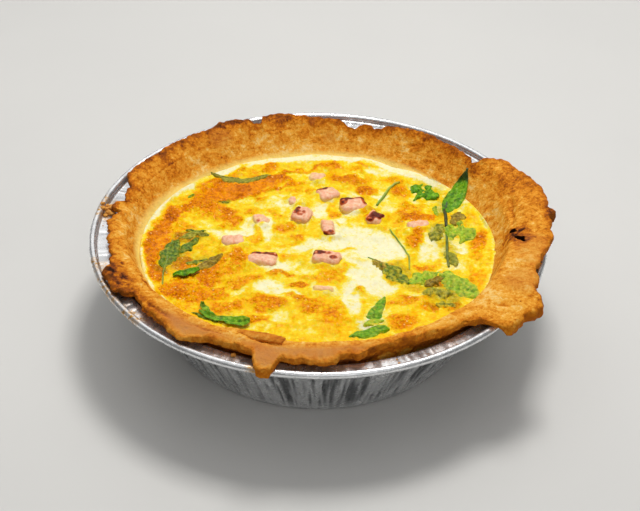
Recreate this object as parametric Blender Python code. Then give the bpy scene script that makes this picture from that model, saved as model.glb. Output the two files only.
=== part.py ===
"""A small ham and spinach quiche in its fluted foil tin.

The tin stands on its flat base, whose centre is the origin. +Z is up, +X is the side where
the pastry hangs far over the rim, and -Y is the front, where one tab of pastry folds over it.
Lengths below are in millimetres, and mesh_object() turns them into metres. Angles are in
degrees, counted from +X towards +Y.
"""

import math
import random

import bmesh
import bpy
from mathutils import Matrix, Vector
from mathutils.bvhtree import BVHTree

MM = 0.001
GAP = 0.3  # air left between two pieces that touch
SEED = 7

# ---- foil tin --------------------------------------------------------------------------
BASE_R = 42.3
WALL_TOP_R = 57.3
FLANGE_Z = 27.8  # underside of the flange
FLANGE_R = 61.8
BEAD_R = 63.5  # the rolled edge's outer radius
BEAD_TOP = 30.0
FOIL = 0.35
LEVEL_FOIL = FOIL * 1.15  # the slanting wall's thickness, measured level
FLANGE_TOP = FLANGE_Z + FOIL
MIDDLE_Z = 14.0  # height at which the wall's flutes are full
CORNER = 0.9  # size of the rounded corner at the base
BEND = 0.3  # how far the bend into the flange reaches
ROLL_UNDER = 0.5  # the roll's lowest edge, over the flange
FLUTES = 48
FLUTE_DEPTH = 0.5
PLEAT_HEIGHT = 0.1

# ---- pastry case -----------------------------------------------------------------------
PASTRY_COLUMNS = 138
SHOULDER_Z = 25.5  # top of the part that fits inside the tin
PASTRY_FLOOR = 4.0
FLOOR_RISE = 0.3  # how much higher the floor is at its edge
FLOOR_R = 39.5
EDGE_THICKNESS = 2.5
EDGE_TUCK = 0.3  # how far the edge's underside is set back from its reach
LIP_LEAST = 1.4  # the lip's thickness where it is thinnest
LIP_START = 0.4  # the lip's underside leaves the wall this far inside the wall's top
LIP_LIFT = 0.75  # the lip's height over the flange at the back
LIP_LIFT_FRONT = 0.8  # how much higher it is at the front
LIP_LIFT_TAB = 0.7  # and how much higher again under the tab
LIP_LIFT_FLAP = 1.6  # the lift where the pastry runs on past the bead
LAP_START = 60.4  # past this radius the pastry rises to lie over the bead
FILLING_LINE_Z = 22.9
FILLING_R = 48.1
FILLING_OVAL = 0.8  # how much wider the filling is from side to side
CREST_R = 54.3
CREST_IN = 1.5  # how much further in the crest lies at the front
CREST_LEAST = 1.8  # width of the lip outside the crest, where it is narrowest
SLOPE = 0.84  # rise over run of the baked wall above the filling
SLOPE_FOOT_Z = FILLING_LINE_Z + 0.4
TOP_LIFT = 0.7  # how far the rim may stand over the line of the slope
TOP_LIFT_FRONT = 1.3  # and how much further at the front
OVER_BEAD_Z = BEAD_TOP + 0.45

# The rim in broad strokes: angle, how far it reaches, height of its top edge.
RIM = [
    (-179, 58.0, 30.6),
    (-166, 58.4, 30.8),
    (-155, 61.6, 31.9),
    (-143, 58.2, 31.4),
    (-125, 60.8, 32.0),
    (-108, 57.8, 31.9),
    (-88, 61.0, 32.6),
    (-70, 56.4, 31.9),
    (-58, 56.8, 31.9),
    (-47, 60.0, 32.3),
    (-42, 67.2, 31.6),
    (-34, 68.8, 32.0),
    (-26, 64.4, 33.0),
    (-16, 62.6, 33.4),
    (-4, 64.6, 34.0),
    (12, 66.0, 34.2),
    (28, 63.6, 33.6),
    (38, 57.6, 32.6),
    (60, 58.0, 32.4),
    (78, 56.4, 31.7),
    (88, 57.6, 31.9),
    (100, 59.0, 32.4),
    (118, 59.6, 32.8),
    (132, 60.0, 32.4),
    (155, 60.8, 31.8),
    (166, 58.0, 30.8),
]
# Broken bits of the rim: angle, half width in degrees, how far it stands out or bites in.
LUMPS = [
    (171.4, 4.6, 4.6),
    (118.4, 4.5, 1.0),
    (109.6, 2.4, -2.0),
    (103.0, 4.5, 1.3),
    (79.7, 3.0, -1.1),
    (71.3, 2.6, -0.8),
    (35.4, 2.4, -1.4),
    (3.0, 2.8, 1.5),
    (-31.5, 3.0, 0.8),
    (-50.5, 3.0, -0.8),
    (-79.2, 2.4, 1.6),
    (-82.4, 2.2, -2.2),
    (-91.0, 4.0, 0.6),
    (-97.0, 3.6, 1.0),
    (-106.4, 4.2, 1.9),
    (-113.5, 4.0, -1.2),
    (-123.5, 2.6, 1.2),
    (-154.0, 6.0, 1.0),
]
RAGGED_REACH = 0.35
RAGGED_TOP = 0.18

TAB_ANGLE = -101.8  # the tab that folds over the bead at the front
TAB_HALF = 2.5
TAB_SIDE = 0.5  # degrees over which the tab's sides and its fold begin
TAB_REACH = 64.9
TAB_TIP_Z = 28.3
TONGUE_ANGLE = -104.5  # the fold of pastry that leans in over the filling
TONGUE_HALF = 9.5
TONGUE_REACH = 2.6
TONGUE_RISE = 1.1
FLAP_START = 65.0  # where the pastry past the bead begins to hang
FLAP_HANG = 1.8  # how much thicker its hanging edge is

# Holes baked through the right side: x, y, half width, half length, turn.
HOLES = [(53.9, -2.0, 1.0, 1.3, 20.0), (55.2, -8.2, 1.0, 1.9, 30.0)]
HOLE_SIDES = 8
# The pegs that pierce them: height of each end, and its size as a share of the hole's.
HOLE_ENDS = [(20.0, 0.8), (37.0, 1.25)]

# ---- filling ---------------------------------------------------------------------------
FILLING_COLUMNS = 54
FILLING_RINGS = (0.97, 0.88, 0.75, 0.61, 0.46, 0.31, 0.15)  # shares of its radius
FILLING_Z = 23.3
# Swells of the set custard: wavelength in x and y, phase, height.
SWELLS = [(31.0, 47.0, 0.4, 0.34), (-23.0, 29.0, 1.9, 0.26), (17.0, -21.0, 3.1, 0.17)]
MENISCUS = 0.7  # how far the custard climbs at its edge

# Diced ham: name, x, y, width, depth, how far it stands out, turn.
HAM = [
    ("ham_big", 10.2, 20.6, 7.2, 6.0, 1.9, 12.0),
    ("ham_charred_right", 16.4, 14.0, 4.6, 5.6, 1.8, -28.0),
    ("ham_middle", 3.0, 7.6, 4.2, 6.6, 1.4, 8.0),
    ("ham_right", 28.6, 10.4, 6.4, 3.8, 1.0, 10.0),
    ("ham_back", -0.3, 36.0, 5.2, 4.6, 1.3, -12.0),
    ("ham_back_middle", 2.8, 26.4, 5.6, 5.4, 1.3, 24.0),
    ("ham_left", -16.6, 13.0, 4.6, 5.8, 1.5, 16.0),
    ("ham_centre_left", -5.0, 14.4, 5.4, 6.2, 1.8, -18.0),
    ("ham_back_left", -6.3, 22.0, 5.0, 3.8, 0.9, -10.0),
    ("ham_far_left", -23.8, 1.4, 6.0, 4.8, 1.3, 14.0),
    ("ham_front_left", -15.4, -6.6, 8.0, 5.6, 1.6, -6.0),
    ("ham_front", 2.5, -5.8, 7.6, 5.2, 1.6, -14.0),
    ("ham_front_strip", 1.4, -19.6, 6.2, 3.0, 0.9, -8.0),
]
HAM_SUNK = 2.4  # how far each dice reaches under the custard
HAM_BEVEL = 0.7
HAM_UNEVEN = (-0.5, 0.3)  # how far a side may stand in or out
HAM_TILT = 0.25  # how far a corner may stand up or down

# Leaves: name, base, middle and tip (x, y), width, lift of its sides, lift of its tip.
LEAVES = [
    ("leaf_back_left", (-14.5, 35.6), (-24.0, 33.6), (-32.0, 37.0), 2.8, 0.5, 0.6),
    ("leaf_left_long", (-43.2, -10.5), (-41.2, -4.5), (-39.8, 2.4), 3.8, 0.4, 0.4),
    ("leaf_left_inner", (-38.2, -3.2), (-36.2, 0.2), (-34.2, 3.4), 2.6, 0.5, 0.4),
    ("leaf_left_brown", (-33.2, -10.2), (-30.2, -8.4), (-26.8, -5.2), 3.6, 0.4, 0.3),
    ("leaf_left_curl", (-39.4, -14.2), (-36.0, -12.9), (-32.6, -12.4), 2.8, 0.9, 0.3),
    ("leaf_front_left", (-31.0, -30.0), (-26.5, -33.4), (-18.0, -34.2), 3.4, 0.8, 0.4),
    ("leaf_right_back", (27.8, 32.6), (31.0, 28.6), (34.8, 24.4), 8.2, 1.0, 0.5),
    ("leaf_right_tall", (36.6, 19.4), (39.8, 24.4), (43.6, 31.6), 5.6, 0.5, 1.4),
    ("leaf_right_ruffled", (36.0, 9.6), (40.2, 8.6), (44.2, 5.4), 9.0, 0.7, 0.4),
    ("leaf_right_small", (35.8, -2.6), (37.4, -5.4), (38.6, -8.4), 3.0, 0.4, 0.3),
    ("leaf_front_right_dark", (18.8, -9.6), (21.6, -12.4), (25.0, -15.8), 4.8, 0.5, 0.3),
    ("leaf_front_right_pale", (26.6, -15.6), (29.4, -13.2), (32.6, -12.2), 4.4, 0.5, 0.3),
    ("leaf_front_right_long", (34.4, -13.0), (38.2, -17.0), (42.2, -22.4), 6.0, 0.4, 0.3),
    ("leaf_front_tall", (14.2, -31.0), (15.4, -28.0), (16.8, -23.6), 3.8, 0.6, 0.6),
    ("leaf_front_low", (8.8, -40.0), (13.4, -38.2), (18.2, -36.4), 3.8, 0.8, 0.4),
]
LEAF_STEPS = 6
LEAF_THICKNESS = 0.45
LEAF_CLEARANCE = 0.55  # over the coarse surface under it
LEAF_SAG = 0.4  # how far its sides may sink under its middle
LEAF_BASE = 0.12  # width at its base, as a share of its width

# ---- finishes: colour, roughness, metallic -----------------------------------------------
FINISHES = {
    "foil": ((0.78, 0.79, 0.80), 0.3, 1.0),
    "pastry": ((0.56, 0.27, 0.09), 0.75, 0.0),
    "custard": ((0.88, 0.55, 0.10), 0.4, 0.0),
    "ham": ((0.83, 0.42, 0.34), 0.45, 0.0),
    "leaf": ((0.10, 0.25, 0.04), 0.45, 0.0),
}


def clear_scene():
    """Remove whatever the scene starts with."""
    for obj in list(bpy.data.objects):
        bpy.data.objects.remove(obj, do_unlink=True)


def finish(name):
    """The material of that name, made on first use."""
    found = bpy.data.materials.get(name)
    if found:
        return found
    colour, roughness, metallic = FINISHES[name]
    material = bpy.data.materials.new(name)
    material.use_nodes = True
    shader = material.node_tree.nodes["Principled BSDF"]
    shader.inputs["Base Color"].default_value = (*colour, 1.0)
    shader.inputs["Roughness"].default_value = roughness
    shader.inputs["Metallic"].default_value = metallic
    material.diffuse_color = (*colour, 1.0)
    return material


def mesh_object(name, points, faces, material, sharp_degrees=50.0):
    """An object from points in millimetres and faces, shaded smooth below the sharp angle."""
    mesh = bpy.data.meshes.new(name)
    mesh.from_pydata([Vector(point) * MM for point in points], [], faces)
    shaped = bmesh.new()
    shaped.from_mesh(mesh)
    bmesh.ops.recalc_face_normals(shaped, faces=shaped.faces)
    shaped.to_mesh(mesh)
    shaped.free()
    mesh.materials.append(finish(material))
    mesh.shade_smooth()
    mesh.set_sharp_from_angle(angle=math.radians(sharp_degrees))
    obj = bpy.data.objects.new(name, mesh)
    bpy.context.scene.collection.objects.link(obj)
    return obj


def turned(name, angles, sections, material):
    """A closed body turned about Z, with one section of (radius, height) points at each angle.

    Every section starts and ends on the axis.
    """
    columns = len(angles)
    inner = len(sections[0]) - 2
    points = [(0.0, 0.0, sections[0][0][1]), (0.0, 0.0, sections[0][-1][1])]
    for angle, section in zip(angles, sections):
        turn = math.radians(angle)
        for radius, height in section[1:-1]:
            points.append((radius * math.cos(turn), radius * math.sin(turn), height))
    faces = []
    for column in range(columns):
        here = 2 + column * inner
        there = 2 + (column + 1) % columns * inner
        faces.append((0, there, here))
        for step in range(inner - 1):
            faces.append((here + step, there + step, there + step + 1, here + step + 1))
        faces.append((1, here + inner - 1, there + inner - 1))
    return mesh_object(name, points, faces, material)


def smooth(share):
    """Ease from 0 to 1."""
    share = min(1.0, max(0.0, share))
    return share * share * (3 - 2 * share)


def angle_between(first, second):
    """Degrees from second to first, from -180 to 180."""
    return (first - second + 180) % 360 - 180


def even_angles(count):
    """Angles of evenly spaced columns, all the way round."""
    return [360.0 * column / count for column in range(count)]


def hump(angle, centre, half):
    """1 at the centre, easing to 0 at half degrees from it."""
    return smooth(1.6 * (1 - abs(angle_between(angle, centre)) / half))


def plateau(angle, centre, half, side):
    """1 within half degrees of the centre and 0 from side degrees further out."""
    return smooth((half + side - abs(angle_between(angle, centre))) / side)


# ---- foil tin ----------------------------------------------------------------------------
def wall_radius(height):
    """The tin's outer wall radius, between its flutes."""
    return BASE_R + (WALL_TOP_R - BASE_R) * height / FLANGE_Z


def tin_section(column):
    """Up the outside, round the rolled bead and down the inside of the tin."""
    wave = FLUTE_DEPTH if column % 2 else -FLUTE_DEPTH
    pleat = PLEAT_HEIGHT if column % 2 else -PLEAT_HEIGHT
    bead_mid = (FLANGE_R + BEAD_R) / 2
    bead_half = (BEAD_R - FLANGE_R) / 4
    return [
        (0.0, 0.0),
        (wall_radius(0.0) - CORNER / 2, 0.0),
        (wall_radius(CORNER), CORNER),
        (wall_radius(MIDDLE_Z) + wave, MIDDLE_Z),
        (WALL_TOP_R - BEND + wave, FLANGE_Z - 2 * BEND),
        (FLANGE_R, FLANGE_Z + pleat),
        (BEAD_R - BEND, FLANGE_Z + ROLL_UNDER),
        (BEAD_R, BEAD_TOP - 2 * bead_half),
        (bead_mid + bead_half, BEAD_TOP),
        (bead_mid - bead_half, BEAD_TOP),
        (FLANGE_R - FOIL / 2, FLANGE_TOP + ROLL_UNDER),
        (FLANGE_R - 2 * BEND, FLANGE_TOP + pleat),
        (WALL_TOP_R + BEND - LEVEL_FOIL + wave, FLANGE_TOP + pleat),
        (wall_radius(MIDDLE_Z) - LEVEL_FOIL + wave, MIDDLE_Z),
        (wall_radius(CORNER) - LEVEL_FOIL, CORNER + FOIL / 2),
        (wall_radius(0.0) - CORNER, FOIL),
        (0.0, FOIL),
    ]


# ---- pastry case --------------------------------------------------------------------------
def front_share(angle):
    """1 at the front, where the lip stands steep, and 0 at the back."""
    return smooth(0.5 - 1.1 * math.sin(math.radians(angle)))


def slope_height(radius):
    """Height of the baked slope above the filling."""
    return SLOPE_FOOT_Z + (radius - FILLING_R) * SLOPE


def filling_radius(angle):
    """Where the filling meets the pastry."""
    return FILLING_R + FILLING_OVAL * math.cos(2 * math.radians(angle))


def rim_stroke(angle):
    """(reach, top) of the rim in broad strokes."""
    for index, (start, reach, top) in enumerate(RIM):
        end, next_reach, next_top = RIM[(index + 1) % len(RIM)]
        span = (end - start) % 360
        along = (angle - start) % 360
        if along <= span:
            share = smooth(along / span)
            return reach + (next_reach - reach) * share, top + (next_top - top) * share
    return RIM[0][1:]


def rim_edge(angle):
    """(reach, top) of the rim with its broken bits and its front tab."""
    reach, top = rim_stroke(angle)
    for centre, half, stands_out in LUMPS:
        reach += stands_out * hump(angle, centre, half)
    top = min(top, slope_height(reach) + TOP_LIFT + TOP_LIFT_FRONT * front_share(angle))
    tab = plateau(angle, TAB_ANGLE, TAB_HALF, TAB_SIDE)
    return reach + (TAB_REACH - reach) * tab, top


def crest(angle, reach, top):
    """(radius, height) where the baked wall turns into the lip."""
    front = front_share(angle)
    tongue = hump(angle, TONGUE_ANGLE, TONGUE_HALF)
    radius = min(CREST_R - CREST_IN * front - TONGUE_REACH * tongue, reach - CREST_LEAST)
    front_z = top - EDGE_TUCK + TONGUE_RISE * tongue
    return radius, slope_height(radius) * (1 - front) + front_z * front


def lip_underside(angle, reach, top):
    """The three underside points of the lip, clear of the tin's flange and bead."""
    tab = plateau(angle, TAB_ANGLE, TAB_HALF, TAB_SIDE)
    droop = plateau(angle, TAB_ANGLE, TAB_HALF - TAB_SIDE, TAB_SIDE)
    lap = smooth(reach - LAP_START)  # 1 where the pastry lies over the bead
    flap = smooth(reach - FLAP_START + 1.0)  # 1 where it runs on past the bead
    past = max(tab, flap)
    start_r = min(WALL_TOP_R - LIP_START, reach - 0.7)
    over_flange_z = FLANGE_TOP + LIP_LIFT + LIP_LIFT_FRONT * front_share(angle) + LIP_LIFT_TAB * tab
    start_z = min(over_flange_z, top - EDGE_THICKNESS - EDGE_TUCK)
    start_z += (over_flange_z - start_z) * smooth((start_r - WALL_TOP_R + 1.9) / 0.6)
    edge_z = max(start_z, top - EDGE_THICKNESS)
    edge_z += (max(edge_z, OVER_BEAD_Z) - edge_z) * lap
    middle_r = min((start_r + reach - EDGE_TUCK) / 2, FLANGE_R - 0.9)
    middle_z = start_z + (edge_z - start_z) * 0.9
    middle_r += (BEAD_R + 0.5 - middle_r) * past
    middle_z += (OVER_BEAD_Z - middle_z) * past
    start_z += (max(start_z, FLANGE_TOP + LIP_LIFT_FLAP) - start_z) * past
    hang = smooth((reach - FLAP_START) / 2.0) * (1 - tab)
    edge_z += (top - EDGE_THICKNESS - FLAP_HANG - edge_z) * hang
    edge_z += (TAB_TIP_Z - edge_z) * droop
    return [(start_r, start_z), (middle_r, middle_z), (reach - EDGE_TUCK, edge_z)]


def pastry_angles():
    """Evenly spaced columns, and closer ones at the sides of the tab."""
    sides = []
    for direction in (-1, 1):
        for beyond in (TAB_SIDE, 0.0, -TAB_SIDE):
            sides.append((TAB_ANGLE + direction * (TAB_HALF + beyond)) % 360)
    even = [
        angle
        for angle in even_angles(PASTRY_COLUMNS)
        if min(abs(angle - side) for side in sides) > TAB_SIDE
    ]
    return sorted(even + sides)


def pastry_sections(angles):
    """One section for each angle, from the underside, round the lip, to the floor inside."""
    rng = random.Random(SEED)
    clearance = LEVEL_FOIL + FLUTE_DEPTH + GAP
    sections = []
    for angle in angles:
        reach, top = rim_edge(angle)
        reach += rng.uniform(-RAGGED_REACH, RAGGED_REACH)
        top += rng.uniform(-RAGGED_TOP, RAGGED_TOP)
        crest_r, crest_z = crest(angle, reach, top)
        under = lip_underside(angle, reach, top)
        top = max(top, under[1][1] + LIP_LEAST)
        edge_mid = (reach, (under[2][1] + top) / 2)
        lip_mid_z = max(crest_z * 0.4 + top * 0.6 + 0.25, under[1][1] + LIP_LEAST)
        lip_mid = (min(crest_r * 0.45 + reach * 0.55, WALL_TOP_R + 0.9), lip_mid_z)
        filling_r = filling_radius(angle)
        wall_mid = ((filling_r + crest_r) / 2 + 0.3, (FILLING_LINE_Z + crest_z) / 2 - 0.35)
        sections.append(
            [
                (0.0, FOIL + GAP),
                (BASE_R - 1.6 - GAP, FOIL + GAP),
                (wall_radius(MIDDLE_Z) - clearance, MIDDLE_Z),
                (min(wall_radius(SHOULDER_Z) - clearance, under[0][0] - 0.2), SHOULDER_Z),
                *under,
                edge_mid,
                (reach - 0.5, top),
                lip_mid,
                (crest_r, crest_z),
                wall_mid,
                (filling_r, FILLING_LINE_Z),
                (FLOOR_R, PASTRY_FLOOR + FLOOR_RISE),
                (0.0, PASTRY_FLOOR),
            ]
        )
    return sections


def hole_cutter(index, x, y, half_width, half_length, turn):
    """A slightly tapered oval peg that pierces the lip."""
    points = []
    for height, grow in HOLE_ENDS:
        for side in range(HOLE_SIDES):
            angle = 2 * math.pi * side / HOLE_SIDES
            point = Vector((half_width * grow * math.cos(angle), half_length * grow * math.sin(angle), 0))
            point.rotate(Matrix.Rotation(math.radians(turn), 3, "Z"))
            points.append((x + point.x, y + point.y, height))
    faces = [tuple(range(HOLE_SIDES)), tuple(range(HOLE_SIDES, 2 * HOLE_SIDES))]
    for side in range(HOLE_SIDES):
        after = (side + 1) % HOLE_SIDES
        faces.append((side, after, HOLE_SIDES + after, HOLE_SIDES + side))
    cutter = mesh_object(f"cut_hole_{index}", points, faces, "pastry")
    return hide(cutter)


def hide(helper):
    """Mark a cutter as a helper."""
    helper.hide_render = True
    helper.display_type = "WIRE"
    return helper


def cut(obj, cutters, name):
    """Cut a collection of helpers out of an object."""
    group = bpy.data.collections.new(name)
    bpy.context.scene.collection.children.link(group)
    for cutter in cutters:
        group.objects.link(cutter)
        bpy.context.scene.collection.objects.unlink(cutter)
    modifier = obj.modifiers.new(name, "BOOLEAN")
    modifier.operation = "DIFFERENCE"
    modifier.operand_type = "COLLECTION"
    modifier.collection = group
    modifier.solver = "EXACT"


def build_pastry():
    """The pastry case, with its two baked holes."""
    angles = pastry_angles()
    pastry = turned("pastry_case", angles, pastry_sections(angles), "pastry")
    cutters = [hole_cutter(index, *hole) for index, hole in enumerate(HOLES)]
    cut(pastry, cutters, "holes")
    return pastry


# ---- filling ------------------------------------------------------------------------------
def custard_height(x, y, share):
    """Height of the set custard at a share of the way from the middle to its edge."""
    height = FILLING_Z + MENISCUS * smooth((share - 0.86) / 0.14)
    for wave_x, wave_y, phase, size in SWELLS:
        height += size * math.sin(2 * math.pi * (x / wave_x + y / wave_y) + phase)
    return height


def filling_section(angle):
    """From the middle of its underside, up its side and back over the top."""
    turn = math.radians(angle)
    edge = filling_radius(angle) - GAP * 1.1  # the coarse rings lie a little inside a true one
    section = [(0.0, PASTRY_FLOOR + GAP), (FLOOR_R - 2 * GAP, PASTRY_FLOOR + FLOOR_RISE + GAP)]
    section.append((edge, FILLING_LINE_Z))
    for share in FILLING_RINGS:
        radius = edge * share
        height = custard_height(radius * math.cos(turn), radius * math.sin(turn), share)
        section.append((radius, height))
    section.append((0.0, custard_height(0.0, 0.0, 0.0)))
    return section


def dice_mesh(name, x, y, width, depth, low, high, turn, grow, material):
    """A dice of ham with softened, slightly uneven corners, or its pocket if it grows."""
    rng = random.Random(name)
    corners = []
    for z in (low - grow, high + grow):
        for sx, sy in ((-1, -1), (1, -1), (1, 1), (-1, 1)):
            half_width = width / 2 + rng.uniform(*HAM_UNEVEN) + grow
            half_depth = depth / 2 + rng.uniform(*HAM_UNEVEN) + grow
            point = Vector((sx * half_width, sy * half_depth, 0.0))
            point.rotate(Matrix.Rotation(math.radians(turn), 3, "Z"))
            corners.append((x + point.x, y + point.y, z + rng.uniform(-HAM_TILT, HAM_TILT)))
    faces = [(3, 2, 1, 0), (4, 5, 6, 7)]
    faces += [(side, (side + 1) % 4, 4 + (side + 1) % 4, 4 + side) for side in range(4)]
    obj = mesh_object(name if not grow else "cut_" + name, corners, faces, material)
    if not grow:
        bevel = obj.modifiers.new("soft_corners", "BEVEL")
        bevel.width = HAM_BEVEL * MM
        bevel.segments = 1
        bevel.limit_method = "NONE"
    return obj


def build_filling():
    """The custard, with a pocket under each dice of ham, and the ham."""
    angles = even_angles(FILLING_COLUMNS)
    custard = turned("custard", angles, [filling_section(angle) for angle in angles], "custard")
    pockets = []
    dice = []
    for name, x, y, width, depth, stands_out, turn in HAM:
        share = math.hypot(x, y) / FILLING_R
        level = custard_height(x, y, share)
        shape = (x, y, width, depth, level - HAM_SUNK, level + stands_out, turn)
        dice.append(dice_mesh(name, *shape, 0.0, "ham"))
        pockets.append(hide(dice_mesh(name, *shape, GAP, "ham")))
    return custard, dice, pockets


# ---- leaves -------------------------------------------------------------------------------
def surface_finder(objects):
    """A function that gives the highest surface of these objects at x, y in millimetres."""
    trees = []
    for obj in objects:
        shape = bmesh.new()
        shape.from_mesh(obj.data)
        trees.append(BVHTree.FromBMesh(shape))
        shape.free()

    def height_at(x, y):
        hits = [tree.ray_cast(Vector((x * MM, y * MM, 1.0)), Vector((0, 0, -1))) for tree in trees]
        return max(hit[0].z for hit in hits if hit[0]) / MM

    return height_at


def leaf_spine(base, middle, tip, share):
    """A point on the curve from base to tip that passes through the middle."""
    bend = 2 * Vector(middle) - (Vector(base) + Vector(tip)) / 2
    return (1 - share) ** 2 * Vector(base) + 2 * share * (1 - share) * bend + share**2 * Vector(tip)


def leaf_width(share):
    """A leaf's width at a share of its length, as a share of its greatest width."""
    swell = math.sin(math.pi * min(1.0, share * 0.92 + 0.06))
    return LEAF_BASE + (1.0 - LEAF_BASE) * swell**0.8


def leaf_object(name, base, middle, tip, width, side_lift, tip_lift, height_at):
    """A thin leaf that lies over what is under it, its sides curling up."""
    points = []
    for step in range(LEAF_STEPS + 1):
        share = step / LEAF_STEPS
        centre = leaf_spine(base, middle, tip, share)
        ahead = leaf_spine(base, middle, tip, share + 0.02) - leaf_spine(base, middle, tip, share - 0.02)
        across = Vector((-ahead.y, ahead.x)).normalized()
        half = width / 2 * leaf_width(share)
        places = [centre + across * half * side for side in (-1, 0, 1)]
        level = height_at(centre.x, centre.y)
        lows = []
        for place, side in zip(places, (-1, 0, 1)):
            rest = max(height_at(place.x, place.y), level - LEAF_SAG) + LEAF_CLEARANCE
            lows.append(rest + side_lift * abs(side) * half / (width / 2) + tip_lift * share**2)
        for raised in (0.0, LEAF_THICKNESS):
            points += [(place.x, place.y, low + raised) for place, low in zip(places, lows)]
    faces = [(0, 1, 4, 3), (1, 2, 5, 4)]
    last = LEAF_STEPS * 6
    faces += [(last, last + 3, last + 4, last + 1), (last + 1, last + 4, last + 5, last + 2)]
    for step in range(LEAF_STEPS):
        low = step * 6
        ahead = low + 6
        for side in (0, 1):
            faces.append((low + side, ahead + side, ahead + side + 1, low + side + 1))
            faces.append((low + side + 3, low + side + 4, ahead + side + 4, ahead + side + 3))
        faces.append((low, low + 3, ahead + 3, ahead))
        faces.append((low + 2, ahead + 2, ahead + 5, low + 5))
    return mesh_object(name, points, faces, "leaf")


def main():
    """Build every piece of the quiche."""
    clear_scene()
    angles = even_angles(2 * FLUTES)
    turned("foil_tin", angles, [tin_section(column) for column in range(2 * FLUTES)], "foil")
    pastry = build_pastry()
    custard, dice, pockets = build_filling()
    height_at = surface_finder([pastry, custard, *dice])
    cut(custard, pockets, "ham_pockets")
    for leaf in LEAVES:
        leaf_object(*leaf, height_at)


main()
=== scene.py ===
"""The finished look of a small ham and spinach quiche that stands in its foil tin.

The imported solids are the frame. Each class below makes one sub-assembly around them: the tin,
the pastry case, the baked filling, the ham, the leaves, the stems, the crumbs and the studio.
Lengths are in millimetres unless a name says otherwise, and Surface turns them into metres.
Angles are in degrees, counted from +X towards +Y. -Y is the front.
"""

import logging
import math
from collections.abc import Sequence
from dataclasses import dataclass, field
from enum import Enum

import bmesh
import bpy
import numpy as np
from mathutils import Matrix, Vector
from mathutils.bvhtree import BVHTree


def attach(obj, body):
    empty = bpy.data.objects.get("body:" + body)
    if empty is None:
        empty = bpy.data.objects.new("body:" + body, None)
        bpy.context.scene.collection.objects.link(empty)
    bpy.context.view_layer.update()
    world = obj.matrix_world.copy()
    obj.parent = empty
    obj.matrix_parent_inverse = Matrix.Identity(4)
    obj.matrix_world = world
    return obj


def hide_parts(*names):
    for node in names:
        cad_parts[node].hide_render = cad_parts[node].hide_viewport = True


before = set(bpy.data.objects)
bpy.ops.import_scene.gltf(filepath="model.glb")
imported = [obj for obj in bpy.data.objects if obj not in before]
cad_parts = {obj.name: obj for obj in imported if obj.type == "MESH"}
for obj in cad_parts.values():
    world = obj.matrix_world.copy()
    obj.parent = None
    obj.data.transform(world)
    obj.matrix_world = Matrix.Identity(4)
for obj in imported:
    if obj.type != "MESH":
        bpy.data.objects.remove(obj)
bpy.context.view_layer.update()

MM = 0.001
BODY = "root"
HAM_NODES = sorted(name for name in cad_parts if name.startswith("ham_"))
Array = np.ndarray
Colour = tuple[float, float, float]
Material = bpy.types.Material
Piece = bpy.types.Object
Rows = tuple[tuple[float, ...], ...]
Socket = bpy.types.NodeSocket

log = logging.getLogger("quiche")


class Slot(Enum):
    """The material slots."""

    FOIL = "foil"
    PASTRY = "pastry"
    CUSTARD = "custard"
    HAM = "ham"
    LEAF = "leaf"


class LeafState(Enum):
    """How a leaf came out of the oven."""

    FRESH = "fresh"
    DARK = "dark"
    OLIVE = "olive"
    PALE = "pale"
    BROWNED = "browned"


FRESH, DARK, OLIVE, PALE, BROWNED = LeafState


# ---- shared arithmetic ----
def ease(share: Array) -> Array:
    """Ease from 0 to 1 as share goes from 0 to 1."""
    share = np.clip(share, 0.0, 1.0)
    return share * share * (3.0 - 2.0 * share)


def degrees_between(first: Array, second: float) -> Array:
    """Degrees from second to first, from -180 to 180."""
    return (first - second + 180.0) % 360.0 - 180.0


def hump(angle: Array, centre: float, half: float) -> Array:
    """1 at the centre angle, easing to 0 at half degrees from it."""
    return ease(1.6 * (1.0 - np.abs(degrees_between(angle, centre)) / half))


def humps(angle: Array, rows: Rows, start: Array | float = 0.0) -> Array:
    """Start and the humps of the rows, each with its centre, half width and height."""
    return sum((height * hump(angle, centre, half) for centre, half, height in rows), start)


def plateau(angle: Array, centre: float, half: float, side: float) -> Array:
    """1 within half degrees of the centre angle and 0 from side degrees further out."""
    return ease((half + side - np.abs(degrees_between(angle, centre))) / side)


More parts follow.
